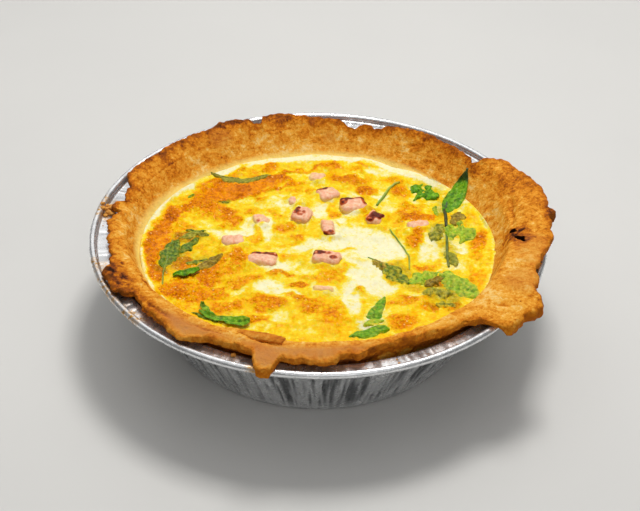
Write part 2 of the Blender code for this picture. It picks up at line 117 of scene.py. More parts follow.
class Grain:
    """Seeded noise in space and seeded cells in the plane."""

    TABLE = 4096
    PEAK = 1.6
    APART = 31.7
    FAR = 9.0

    def __init__(self, seed: int) -> None:
        """Draw the tables.

        Args:
            seed: the number that fixes every draw.
        """
        rng = np.random.default_rng(seed)
        self.order = rng.permutation(self.TABLE)
        self.slopes = rng.normal(size=(self.TABLE, 3))
        self.slopes /= np.linalg.norm(self.slopes, axis=1)[:, None]
        self.values = rng.uniform(0.0, 1.0, (self.TABLE, 3))

    def _entry(self, *cell: Array) -> Array:
        """The table entry of a lattice cell.

        Args:
            cell: the cell's whole numbers, one array for each direction.

        Returns:
            One entry for each point.
        """
        found = np.zeros_like(cell[0])
        for number in cell:
            found = self.order[(found + number) & (self.TABLE - 1)]
        return found

    def wave(self, points: Array, wavelength: float) -> Array:
        """Smooth noise from about -1 to 1.

        Args:
            points: rows of x, y and z.
            wavelength: the size of its lumps.

        Returns:
            One value for each point.
        """
        place = points / wavelength
        cell = np.floor(place).astype(np.int64)
        inside = place - cell
        blend = ease(inside)
        total = np.zeros(len(points))
        for corner in np.ndindex(2, 2, 2):
            step = np.array(corner)
            entry = self._entry(*(cell + step).T)
            weight = np.prod(np.where(step, blend, 1.0 - blend), axis=1)
            total += weight * np.einsum("ij,ij->i", self.slopes[entry], inside - step)
        return total * self.PEAK

    def rough(self, points: Array, wavelength: float, octaves: int, gain: float = 0.5) -> Array:
        """Noise whose lumps carry smaller lumps.

        Args:
            points: rows of x, y and z.
            wavelength: the size of its largest lumps.
            octaves: how many sizes of lump.
            gain: the height of each size as a share of the one before.

        Returns:
            One value for each point.
        """
        total = np.zeros(len(points))
        for octave in range(octaves):
            total += gain**octave * self.wave(points + self.APART * octave, wavelength / 2**octave)
        return total

    def cells(self, x: Array, y: Array, size: float) -> tuple[Array, Array]:
        """Irregular cells in the plane.

        Args:
            x: across.
            y: along.
            size: the mean spacing of the cells.

        Returns:
            The distance to the nearest cell middle, in cell sizes, and a random share that is
            the same all over a cell.
        """
        column, row = np.floor(x / size).astype(np.int64), np.floor(y / size).astype(np.int64)
        nearest = np.full(x.shape, self.FAR)
        share = np.zeros(x.shape)
        for side in (-1, 0, 1):
            for ahead in (-1, 0, 1):
                draw = self.values[self._entry(column + side, row + ahead)]
                gap_x = x / size - (column + side + draw[:, 0])
                gap_y = y / size - (row + ahead + draw[:, 1])
                gap = np.hypot(gap_x, gap_y)
                closer = gap < nearest
                share = np.where(closer, draw[:, 2], share)
                nearest = np.minimum(nearest, gap)
        return nearest, share


@dataclass(frozen=True)
class Patch:
    """An oval area with a soft edge, and how strongly it counts."""

    x: float
    y: float
    half_x: float
    half_y: float
    amount: float
    turn: float = 0.0

    def over(self, x: Array, y: Array) -> Array:
        """Its amount at each place, fading out across its edge.

        Args:
            x: across.
            y: along.

        Returns:
            One value for each place.
        """
        turn = math.radians(self.turn)
        along = (x - self.x) * math.cos(turn) + (y - self.y) * math.sin(turn)
        across = (y - self.y) * math.cos(turn) - (x - self.x) * math.sin(turn)
        gap = np.hypot(along / self.half_x, across / self.half_y)
        return self.amount * ease((1.3 - gap) / 0.65)


def patches(*rows: tuple[float, ...]) -> tuple[Patch, ...]:
    """Patches from rows of x, y, half_x, half_y, amount in hundredths, and any turn."""
    return tuple(Patch(*row[:4], row[4] / 100, *row[5:]) for row in rows)


# ---- meshes and pieces ----
@dataclass
class Surface:
    """Points and faces of one piece, with the marks that its finish reads."""

    points: Array
    faces: list[tuple[int, ...]]
    marks: dict[str, Array] = field(default_factory=dict)

    def make(self, name: str, material: Material) -> Piece:
        """Turn it into a smooth-shaded object in metres.

        Args:
            name: the object's name.
            material: its finish.

        Returns:
            The new object, linked to the scene.
        """
        mesh = bpy.data.meshes.new(name)
        mesh.from_pydata((self.points * MM).tolist(), [], self.faces)
        mesh.update()
        for mark, values in self.marks.items():
            layer = mesh.attributes.new(mark, "FLOAT", "POINT")
            layer.data.foreach_set("value", np.asarray(values, np.float32))
        mesh.materials.append(material)
        mesh.shade_smooth()
        obj = bpy.data.objects.new(name, mesh)
        bpy.context.scene.collection.objects.link(obj)
        return obj


def join(surfaces: list[Surface]) -> Surface:
    """One surface of several that carry the same marks.

    Args:
        surfaces: at least one surface.

    Returns:
        All their points and faces together.
    """
    faces: list[tuple[int, ...]] = []
    start = 0
    for surface in surfaces:
        faces += [tuple(start + corner for corner in face) for face in surface.faces]
        start += len(surface.points)
    marks = {
        mark: np.concatenate([surface.marks[mark] for surface in surfaces]) for mark in surfaces[0].marks
    }
    return Surface(np.concatenate([surface.points for surface in surfaces]), faces, marks)


def ring_faces(columns: int, rows: int, first: int = 0) -> list[tuple[int, ...]]:
    """Quads of a sheet of rows by columns whose last column meets its first.

    Args:
        columns: points round the ring, in each row.
        rows: rows of points.
        first: number of the sheet's first point.

    Returns:
        The quads, which face out where rows run up and columns run anticlockwise.
    """
    here = np.arange(rows - 1)[:, None] * columns + np.arange(columns)[None, :] + first
    ahead = np.arange(rows - 1)[:, None] * columns + (np.arange(columns)[None, :] + 1) % columns + first
    quads = np.stack([here, ahead, ahead + columns, here + columns], axis=-1).reshape(-1, 4)
    return [tuple(quad) for quad in quads.tolist()]


def capped_rings(sheet: Array, low: float, high: float, marks: dict[str, Array]) -> Surface:
    """A body turned round the middle, whose first and last rings are closed with fans.

    Args:
        sheet: its points, rows by columns by 3.
        low: height of the middle of the first fan.
        high: height of the middle of the last fan.
        marks: its marks, rows by columns, which are 0 at both middles.

    Returns:
        The closed body.
    """
    rows, columns = sheet.shape[:2]
    middles = np.array([[0.0, 0.0, low], [0.0, 0.0, high]])
    faces = ring_faces(columns, rows, 2)
    last = 2 + (rows - 1) * columns
    for column in range(columns):
        after = (column + 1) % columns
        faces.append((0, 2 + after, 2 + column))
        faces.append((1, last + column, last + after))
    padded = {name: np.concatenate([[0.0, 0.0], values.ravel()]) for name, values in marks.items()}
    return Surface(np.concatenate([middles, sheet.reshape(-1, 3)]), faces, padded)


def grid_faces(number: Array, turned: bool = False) -> list[tuple[int, ...]]:
    """Quads of a grid.

    Args:
        number: the numbers of its points, rows by columns.
        turned: whether the quads face the other way.

    Returns:
        The quads.
    """
    corners = [number[:-1, :-1], number[:-1, 1:], number[1:, 1:], number[1:, :-1]]
    if turned:
        corners = [corners[0], *reversed(corners[1:])]
    return [tuple(quad) for quad in np.stack(corners, axis=-1).reshape(-1, 4).tolist()]


def grid_rim(number: Array) -> Array:
    """The numbers of a grid's outermost points, in order round it."""
    return np.concatenate([number[0, :-1], number[:-1, -1], number[-1, :0:-1], number[:0:-1, 0]])


def sheet_normals(sheet: Array) -> Array:
    """Unit normals of a sheet whose last column meets its first.

    Args:
        sheet: its points, rows by columns by 3.

    Returns:
        One normal for each point.
    """
    round_it = np.roll(sheet, -1, axis=1) - np.roll(sheet, 1, axis=1)
    up_it = np.gradient(sheet, axis=0)
    normals = np.cross(round_it, up_it)
    return normals / np.maximum(np.linalg.norm(normals, axis=2, keepdims=True), 1e-9)


def fine_rows(sections: Array, steps: Sequence[int]) -> Array:
    """Extra rows between the points of every section.

    Args:
        sections: points by columns by 2, radius and height.
        steps: how many rows each stretch between two points becomes.

    Returns:
        Rows by columns by 2.
    """
    rows = []
    for low, high, count in zip(sections[:-1], sections[1:], steps):
        rows += [low + (high - low) * step / count for step in range(count)]
    rows.append(sections[-1])
    return np.array(rows)


def soften(line: Array, passes: int) -> Array:
    """Round off the corners of a line, or of a row of lines, between its two ends.

    Args:
        line: its points in order.
        passes: how often each point moves towards the two beside it.

    Returns:
        The softer line.
    """
    line = line.copy()
    for _ in range(passes):
        line[1:-1] = 0.25 * line[:-2] + 0.5 * line[1:-1] + 0.25 * line[2:]
    return line


def along_knots(share: Array, knots: Rows) -> Array:
    """Points at each share of the way along evenly counted knots."""
    places = np.linspace(0.0, 1.0, len(knots))
    return np.stack([np.interp(share, places, column) for column in zip(*knots)], axis=1)


def tube(route: Array, radii: Array, sides: int = 8) -> Surface:
    """A tube with closed ends.

    Args:
        route: its middle line, a row for each point.
        radii: its radius at each point.
        sides: points round it.

    Returns:
        The tube, with its share of the way along as the mark "along".
    """
    ahead = np.gradient(route, axis=0)
    ahead /= np.linalg.norm(ahead, axis=1)[:, None]
    side = np.cross(ahead, np.array([0.0, 0.0, 1.0]))
    side /= np.linalg.norm(side, axis=1)[:, None]
    up = np.cross(side, ahead)
    turn = 2 * np.pi * np.arange(sides) / sides
    around = side[:, None] * np.cos(turn)[None, :, None] + up[:, None] * np.sin(turn)[None, :, None]
    points = (route[:, None] + around * radii[:, None, None]).reshape(-1, 3)
    faces = ring_faces(sides, len(route))
    faces.append(tuple(reversed(range(sides))))
    faces.append(tuple(range(len(points) - sides, len(points))))
    share = np.repeat(np.linspace(0.0, 1.0, len(route)), sides)
    return Surface(points, faces, {"along": share})


def dress(obj: Piece, solids: list[str]) -> Piece:
    """Fix a piece to the frame.

    Args:
        obj: the piece.
        solids: the nodes that it stands for.

    Returns:
        The same piece.
    """
    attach(obj, BODY)
    if solids:
        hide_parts(*solids)
    log.info("%s: %d faces, replaces %s", obj.name, len(obj.data.polygons), solids or "nothing")
    return obj


# ---- finishes ----
class Recipe:
    """A material's node tree, with short ways to add its nodes."""

    def __init__(self, name: str) -> None:
        """Start a material.

        Args:
            name: the material's name.
        """
        self.material = bpy.data.materials.new(name)
        self.material.use_nodes = True
        self.tree = self.material.node_tree
        self.shader = self.tree.nodes["Principled BSDF"]
        self.place = self.tree.nodes.new("ShaderNodeTexCoord").outputs["Object"]

    def feed(self, socket: Socket, value: object) -> None:
        """Link a socket to the input, or set a plain number or colour on it.

        Args:
            socket: the input.
            value: what it takes.
        """
        if isinstance(value, Socket):
            self.tree.links.new(value, socket)
        elif isinstance(value, tuple):
            socket.default_value = (*value, 1.0)[: len(socket.default_value)]
        else:
            socket.default_value = value

    def node(self, kind: str, inputs: dict[str | int, object], **settings: object) -> bpy.types.Node:
        """Add a node.

        Args:
            kind: its type, without the words ShaderNode.
            inputs: what its inputs take, by name or number.
            settings: its own settings.

        Returns:
            The node.
        """
        node = self.tree.nodes.new("ShaderNode" + kind)
        for name, value in settings.items():
            setattr(node, name, value)
        for name, value in inputs.items():
            self.feed(node.inputs[name], value)
        return node

    def mark(self, name: str) -> Socket:
        """A mark of the mesh, as a number."""
        return self.node("Attribute", {}, attribute_name=name).outputs["Fac"]

    def noise(self, size: float, detail: float = 2.0, roughness: float = 0.5) -> Socket:
        """Noise from 0 to 1, with lumps of that size and so many finer sizes, each so strong."""
        inputs = {"Vector": self.place, "Scale": 1.0 / (size * MM), "Detail": detail, "Roughness": roughness}
        return self.node("TexNoise", inputs).outputs["Fac"]

    def cells(self, size: float) -> Socket:
        """Distance to the middle of irregular cells of that size."""
        inputs = {"Vector": self.place, "Scale": 1.0 / (size * MM)}
        return self.node("TexVoronoi", inputs).outputs["Distance"]

    def math(self, operation: str, first: object, second: object) -> Socket:
        """One sum of two numbers, each a socket or a plain value."""
        return self.node("Math", {0: first, 1: second}, operation=operation).outputs[0]

    def spread(
        self, value: object, low: float, high: float, to_low: float = 0.0, to_high: float = 1.0
    ) -> Socket:
        """Map low to high onto to_low to to_high, and stay within them."""
        inputs = {"Value": value, "From Min": low, "From Max": high, "To Min": to_low, "To Max": to_high}
        return self.node("MapRange", inputs).outputs["Result"]

    def mix(self, share: object, first: object, second: object) -> Socket:
        """Blend two colours, of which the second shows by that share."""
        return self.node("Mix", {0: share, 6: first, 7: second}, data_type="RGBA").outputs[2]

    def bump(self, height: object, depth: float, below: Socket | None = None) -> Socket:
        """A normal bumped to that depth, on top of a coarser bump where there is one."""
        inputs = {"Distance": depth * MM, "Height": height} | ({"Normal": below} if below else {})
        return self.node("Bump", inputs).outputs["Normal"]

    def ramp(self, value: object, stops: tuple[tuple[float, Colour], ...]) -> Socket:
        """Colours along a scale.

        Args:
            value: where on the scale.
            stops: places from 0 to 1, each with its colour.

        Returns:
            The colour.
        """
        node = self.node("ValToRGB", {"Fac": value})
        elements = node.color_ramp.elements
        while len(elements) < len(stops):
            elements.new(0.5)
        for element, (place, colour) in zip(elements, stops):
            element.position = place
            element.color = (*colour, 1.0)
        return node.outputs["Color"]

    def finish(self, **inputs: object) -> Material:
        """Set the shader's own inputs and hand over the material.

        Args:
            inputs: what each input takes, under its name with _ for each space.

        Returns:
            The finished material.
        """
        for name, value in inputs.items():
            self.feed(self.shader.inputs[name.replace("_", " ")], value)
        return self.material


@dataclass(frozen=True)
class FoilFinish:
    """Thin aluminium foil: bright on its folds, with painted shade darkening its creases, and baked-on
    stains.
    """

    metal: Colour = (0.9, 0.91, 0.92)
    dull: Colour = (0.72, 0.73, 0.74)
    painted_crease_shade: Colour = (0.11, 0.115, 0.12)
    stain: Colour = (0.52, 0.27, 0.04)
    cloud_size: float = 6.0
    crinkle_size: float = 1.3
    crinkle_depth: float = 0.05

    def material(self) -> Material:
        """Make the foil.

        Returns:
            The material.
        """
        recipe = Recipe("foil")
        clouds = recipe.noise(self.cloud_size, 3.0)
        base = recipe.mix(recipe.spread(clouds, 0.35, 0.7), self.metal, self.dull)
        # Painted shade: the creases are darkened towards a near-black colour.
        base = recipe.mix(recipe.mark("creased"), base, self.painted_crease_shade)
        speck = recipe.spread(recipe.noise(1.1, 2.0), 0.35, 0.65)
        stained = recipe.math("MULTIPLY", recipe.mark("stained"), speck)
        colour = recipe.mix(stained, base, self.stain)
        rough = recipe.spread(recipe.noise(2.4, 3.0), 0.3, 0.7, 0.18, 0.34)
        rough = recipe.math("ADD", rough, recipe.math("MULTIPLY", stained, 0.3))
        crinkle = recipe.bump(recipe.noise(self.crinkle_size, 3.0, 0.6), self.crinkle_depth)
        return recipe.finish(Base_Color=colour, Metallic=0.8, Roughness=rough, Normal=crinkle)


@dataclass(frozen=True)
class PastryFinish:
    """Shortcrust baked golden, with a cream-soaked foot and a darker broken edge, and painted shade under the
    lip, on the front lip and in the holes.
    """

    scale: tuple[tuple[float, Colour], ...] = (
        (0.0, (0.9, 0.6, 0.2)),
        (0.18, (0.85, 0.42, 0.055)),
        (0.38, (0.74, 0.27, 0.018)),
        (0.56, (0.53, 0.15, 0.008)),
        (0.76, (0.24, 0.058, 0.011)),
        (1.0, (0.03, 0.01, 0.006)),
    )
    soaked: Colour = (0.93, 0.66, 0.17)
    torn: Colour = (0.6, 0.165, 0.008)
    flour_and_shade_colour: Colour = (0.5, 0.185, 0.06)
    sand_size: float = 0.8
    sand_depth: float = 0.3
    mottle_size: float = 2.6
    crumb_size: float = 1.3
    crumb_depth: float = 0.42

    def material(self) -> Material:
        """Make the baked pastry.

        Returns:
            The material.
        """
        recipe = Recipe("pastry")
        sand = recipe.noise(self.sand_size, 3.0, 0.7)
        mottle = recipe.noise(self.mottle_size, 4.0, 0.65)
        calm = recipe.spread(recipe.mark("floury"), 0.0, 1.0, 1.0, 0.5)
        grain = recipe.math("MULTIPLY", recipe.spread(sand, 0.25, 0.75, -0.22, 0.22), calm)
        cloud = recipe.math("MULTIPLY", recipe.spread(mottle, 0.3, 0.7, -0.24, 0.24), calm)
        baked = recipe.math("ADD", recipe.math("ADD", recipe.mark("baked"), grain), cloud)
        pits = recipe.spread(recipe.noise(0.9, 1.0), 0.66, 0.74, 0.0, 0.2)
        baked = recipe.math("ADD", baked, recipe.math("MULTIPLY", pits, calm))
        colour = recipe.ramp(baked, self.scale)
        # The flour colour darkens the front lip, partly as flour and partly as painted shade, and also marks
        # the dusted spots.
        dust_and_lip_shade = recipe.math("MULTIPLY", recipe.mark("floury"), recipe.spread(mottle, 0.3, 0.7, 0.85, 0.5))
        colour = recipe.mix(dust_and_lip_shade, colour, self.flour_and_shade_colour)
        colour = recipe.mix(recipe.math("MULTIPLY", recipe.mark("torn"), 0.6), colour, self.torn)
        damp = recipe.math("ADD", recipe.mark("soaked"), recipe.spread(mottle, 0.3, 0.7, -0.2, 0.2))
        colour = recipe.mix(recipe.spread(damp, 0.2, 0.9), colour, self.soaked)
        # Painted shade: near-black inside the holes, standing in for their shade as well as char.
        colour = recipe.mix(recipe.spread(recipe.mark("burnt"), 0.0, 1.0), colour, self.scale[-1][1])
        rough = recipe.spread(recipe.mark("soaked"), 0.0, 1.0, 0.68, 0.42)
        coarse = recipe.bump(recipe.noise(self.crumb_size, 2.0, 0.6), self.crumb_depth)
        fine = recipe.bump(sand, self.sand_depth, coarse)
        return recipe.finish(Base_Color=colour, Roughness=rough, Normal=fine, Specular_IOR_Level=0.04)


@dataclass(frozen=True)
class CustardFinish:
    """Set egg custard: cream where pale, through yellow and orange, to brown where it blistered."""

    scale: tuple[tuple[float, Colour], ...] = (
        (0.0, (0.9, 0.86, 0.56)),
        (0.12, (0.89, 0.79, 0.26)),
        (0.24, (0.9, 0.7, 0.02)),
        (0.37, (0.9, 0.55, 0.002)),
        (0.5, (0.9, 0.4, 0.0)),
        (0.64, (0.84, 0.265, 0.0)),
        (0.8, (0.54, 0.125, 0.001)),
        (1.0, (0.11, 0.026, 0.006)),
    )
    herb: Colour = (0.16, 0.17, 0.012)
    painted_glint: Colour = (1.0, 0.8, 0.3)
    bubble_size: float = 0.95
    bubble_depth: float = 0.42
    glint_size: float = 1.25
    wet_size: float = 0.8
    wet_depth: float = 0.16

    def material(self) -> Material:
        """Make the baked custard.

        Returns:
            The material.
        """
        recipe = Recipe("custard")
        fine = recipe.noise(0.7, 3.0, 0.65)
        crumbly = recipe.noise(1.9, 3.0, 0.6)
        crowd = recipe.spread(recipe.mark("baked"), 0.36, 0.54)
        crowd = recipe.math("MULTIPLY", crowd, recipe.spread(recipe.mark("glazed"), 0.0, 1.0, 1.0, 0.12))
        bubble = recipe.spread(recipe.cells(self.bubble_size), 0.0, 0.6, 1.0, 0.0)
        bubble = recipe.math("MULTIPLY", bubble, crowd)
        baked = recipe.math("ADD", recipe.mark("baked"), recipe.spread(fine, 0.25, 0.75, -0.11, 0.11))
        baked = recipe.math("ADD", baked, recipe.spread(crumbly, 0.3, 0.7, -0.09, 0.09))
        # Painted highlight: the tops of the blisters are lighter.
        baked = recipe.math("SUBTRACT", baked, recipe.math("MULTIPLY", bubble, 0.2))
        baked = recipe.math("ADD", baked, recipe.math("MULTIPLY", crowd, 0.05))
        colour = recipe.ramp(baked, self.scale)
        tint = recipe.math("MULTIPLY", recipe.mark("herby"), recipe.spread(fine, 0.3, 0.7, 0.4, 1.0))
        colour = recipe.mix(tint, colour, self.herb)
        # Painted highlights: tiny pale glints at the middles of small cells where the custard browned.
        painted_glints = recipe.spread(recipe.cells(self.glint_size), 0.13, 0.24, 1.0, 0.0)
        painted_glints = recipe.math("MULTIPLY", painted_glints, crowd)
        painted_glints = recipe.math("MULTIPLY", painted_glints, recipe.spread(recipe.noise(2.4, 1.0), 0.46, 0.6, 0.0, 0.75))
        colour = recipe.mix(painted_glints, colour, self.painted_glint)
        rough = recipe.spread(recipe.noise(1.6, 2.0), 0.3, 0.7, 0.1, 0.22)
        domes = recipe.bump(bubble, self.bubble_depth)
        wet = recipe.bump(recipe.noise(self.wet_size, 3.0, 0.6), self.wet_depth, domes)
        return recipe.finish(
            Base_Color=colour,
            Roughness=rough,
            Normal=wet,
            Specular_IOR_Level=0.07,
            Subsurface_Weight=0.08,
            Subsurface_Radius=(1.0, 0.55, 0.08),
            Subsurface_Scale=0.001,
        )


@dataclass(frozen=True)
class HamFinish:
    """Cooked ham: pink, faintly fibrous, creamy at its foot and charred at its corners."""

    pink: Colour = (0.84, 0.37, 0.22)
    pale: Colour = (0.93, 0.61, 0.42)
    cream: Colour = (0.9, 0.66, 0.2)
    seared: Colour = (0.5, 0.075, 0.006)
    charred: Colour = (0.12, 0.012, 0.004)
    fibre_size: float = 0.9
    fibre_depth: float = 0.22

    def material(self) -> Material:
        """Make the ham.

        Returns:
            The material.
        """
        recipe = Recipe("ham")
        fibre = recipe.noise(self.fibre_size, 3.0, 0.6)
        colour = recipe.mix(recipe.spread(fibre, 0.35, 0.65), self.pink, self.pale)
        colour = recipe.mix(recipe.mark("coated"), colour, self.cream)
        burn = recipe.math("ADD", recipe.mark("seared"), recipe.spread(fibre, 0.3, 0.7, -0.15, 0.15))
        colour = recipe.mix(recipe.spread(burn, 0.15, 0.5), colour, self.seared)
        colour = recipe.mix(recipe.spread(burn, 0.62, 1.0), colour, self.charred)
        wet = recipe.bump(fibre, self.fibre_depth)
        return recipe.finish(
            Base_Color=colour,
            Roughness=0.34,
            Normal=wet,
            Specular_IOR_Level=0.16,
            Subsurface_Weight=0.15,
            Subsurface_Radius=(1.0, 0.4, 0.25),
            Subsurface_Scale=0.0012,
        )


@dataclass(frozen=True)
class LeafFinish:
    """A baked leaf: veined, with painted shade in its folds, and filmed with custard, in one of several
    states.
    """

    state: LeafState
    blade: Colour
    vein: Colour
    fold: Colour
    dry: Colour
    film: Colour = (0.78, 0.61, 0.03)
    relief_depth: float = 0.34

    def material(self) -> Material:
        """Make the leaf's finish.

        Returns:
            The material.
        """
        recipe = Recipe(f"leaf_{self.state.value}")
        cloud = recipe.noise(1.3, 3.0, 0.6)
        light = recipe.spread(recipe.noise(0.9, 3.0, 0.6), 0.48, 0.64, 0.0, 0.75)
        colour = recipe.mix(light, self.blade, self.vein)
        colour = recipe.mix(recipe.spread(cloud, 0.48, 0.7, 0.0, 0.85), colour, self.fold)
        colour = recipe.mix(recipe.math("MULTIPLY", recipe.mark("vein"), 0.6), colour, self.vein)
        # Painted shade: the fold colour darkens the valleys of the crumple.
        colour = recipe.mix(recipe.mark("folded"), colour, self.fold)
        coat = recipe.math("MULTIPLY", recipe.mark("film"), recipe.spread(recipe.noise(0.9, 3.0), 0.35, 0.65))
        colour = recipe.mix(coat, colour, self.film)
        colour = recipe.mix(recipe.mark("dry"), colour, self.dry)
        relief = recipe.math("ADD", recipe.noise(0.8, 3.0), recipe.math("MULTIPLY", recipe.mark("vein"), 0.5))
        return recipe.finish(
            Base_Color=colour,
            Roughness=recipe.spread(cloud, 0.3, 0.7, 0.28, 0.48),
            Normal=recipe.bump(relief, self.relief_depth),
            Specular_IOR_Level=0.14,
            Subsurface_Weight=0.06,
            Subsurface_Radius=(0.4, 1.0, 0.15),
            Subsurface_Scale=0.0005,
        )


LEAF_FINISHES: tuple[LeafFinish, ...] = (
    LeafFinish(FRESH, (0.1, 0.33, 0.004), (0.3, 0.56, 0.03), (0.014, 0.08, 0.003), (0.004, 0.01, 0.004)),
    LeafFinish(DARK, (0.06, 0.16, 0.01), (0.26, 0.38, 0.04), (0.01, 0.026, 0.004), (0.006, 0.01, 0.004)),
    LeafFinish(OLIVE, (0.19, 0.22, 0.018), (0.42, 0.4, 0.06), (0.04, 0.05, 0.007), (0.02, 0.018, 0.006)),
    LeafFinish(PALE, (0.28, 0.5, 0.02), (0.6, 0.68, 0.07), (0.04, 0.16, 0.005), (0.3, 0.1, 0.012)),
    LeafFinish(BROWNED, (0.24, 0.15, 0.012), (0.5, 0.34, 0.05), (0.06, 0.03, 0.006), (0.16, 0.045, 0.008)),
)


@dataclass(frozen=True)
class StemFinish:
    """A thin green stem, yellower at one end, or scorched nearly black."""

    green: Colour = (0.22, 0.4, 0.025)
    tip: Colour = (0.45, 0.5, 0.05)
    shade: Colour = (0.06, 0.12, 0.01)
    scorched: Colour = (0.012, 0.022, 0.006)

    def material(self) -> Material:
        """Make the stem's finish.

        Returns:
            The material.
        """
        recipe = Recipe("stem")
        colour = recipe.mix(recipe.mark("along"), self.green, self.tip)
        dark = recipe.spread(recipe.noise(1.2, 2.0), 0.4, 0.75, 0.0, 0.7)
        colour = recipe.mix(dark, colour, self.shade)
        colour = recipe.mix(recipe.mark("scorched"), colour, self.scorched)
        return recipe.finish(Base_Color=colour, Roughness=0.4, Normal=recipe.bump(recipe.noise(0.5), 0.08))


@dataclass(frozen=True)
class CrumbFinish:
    """Loose pastry crumbs."""

    pale: Colour = (0.76, 0.36, 0.05)
    brown: Colour = (0.5, 0.17, 0.015)

    def material(self) -> Material:
        """Make the crumbs' finish.

        Returns:
            The material.
        """
        recipe = Recipe("crumb")
        colour = recipe.mix(recipe.spread(recipe.noise(0.8, 2.0), 0.35, 0.65), self.pale, self.brown)
        return recipe.finish(Base_Color=colour, Roughness=0.75, Normal=recipe.bump(recipe.noise(0.3), 0.08))


@dataclass(frozen=True)
class FloorFinish:
    """A plain pale studio floor."""

    pale: Colour = (0.7, 0.695, 0.675)
    shade: Colour = (0.66, 0.655, 0.64)

    def material(self) -> Material:
        """Make the floor's finish.

        Returns:
            The material.
        """
        recipe = Recipe("floor")
        colour = recipe.mix(recipe.noise(60.0, 2.0), self.pale, self.shade)
        return recipe.finish(Base_Color=colour, Roughness=0.85, Specular_IOR_Level=0.2)


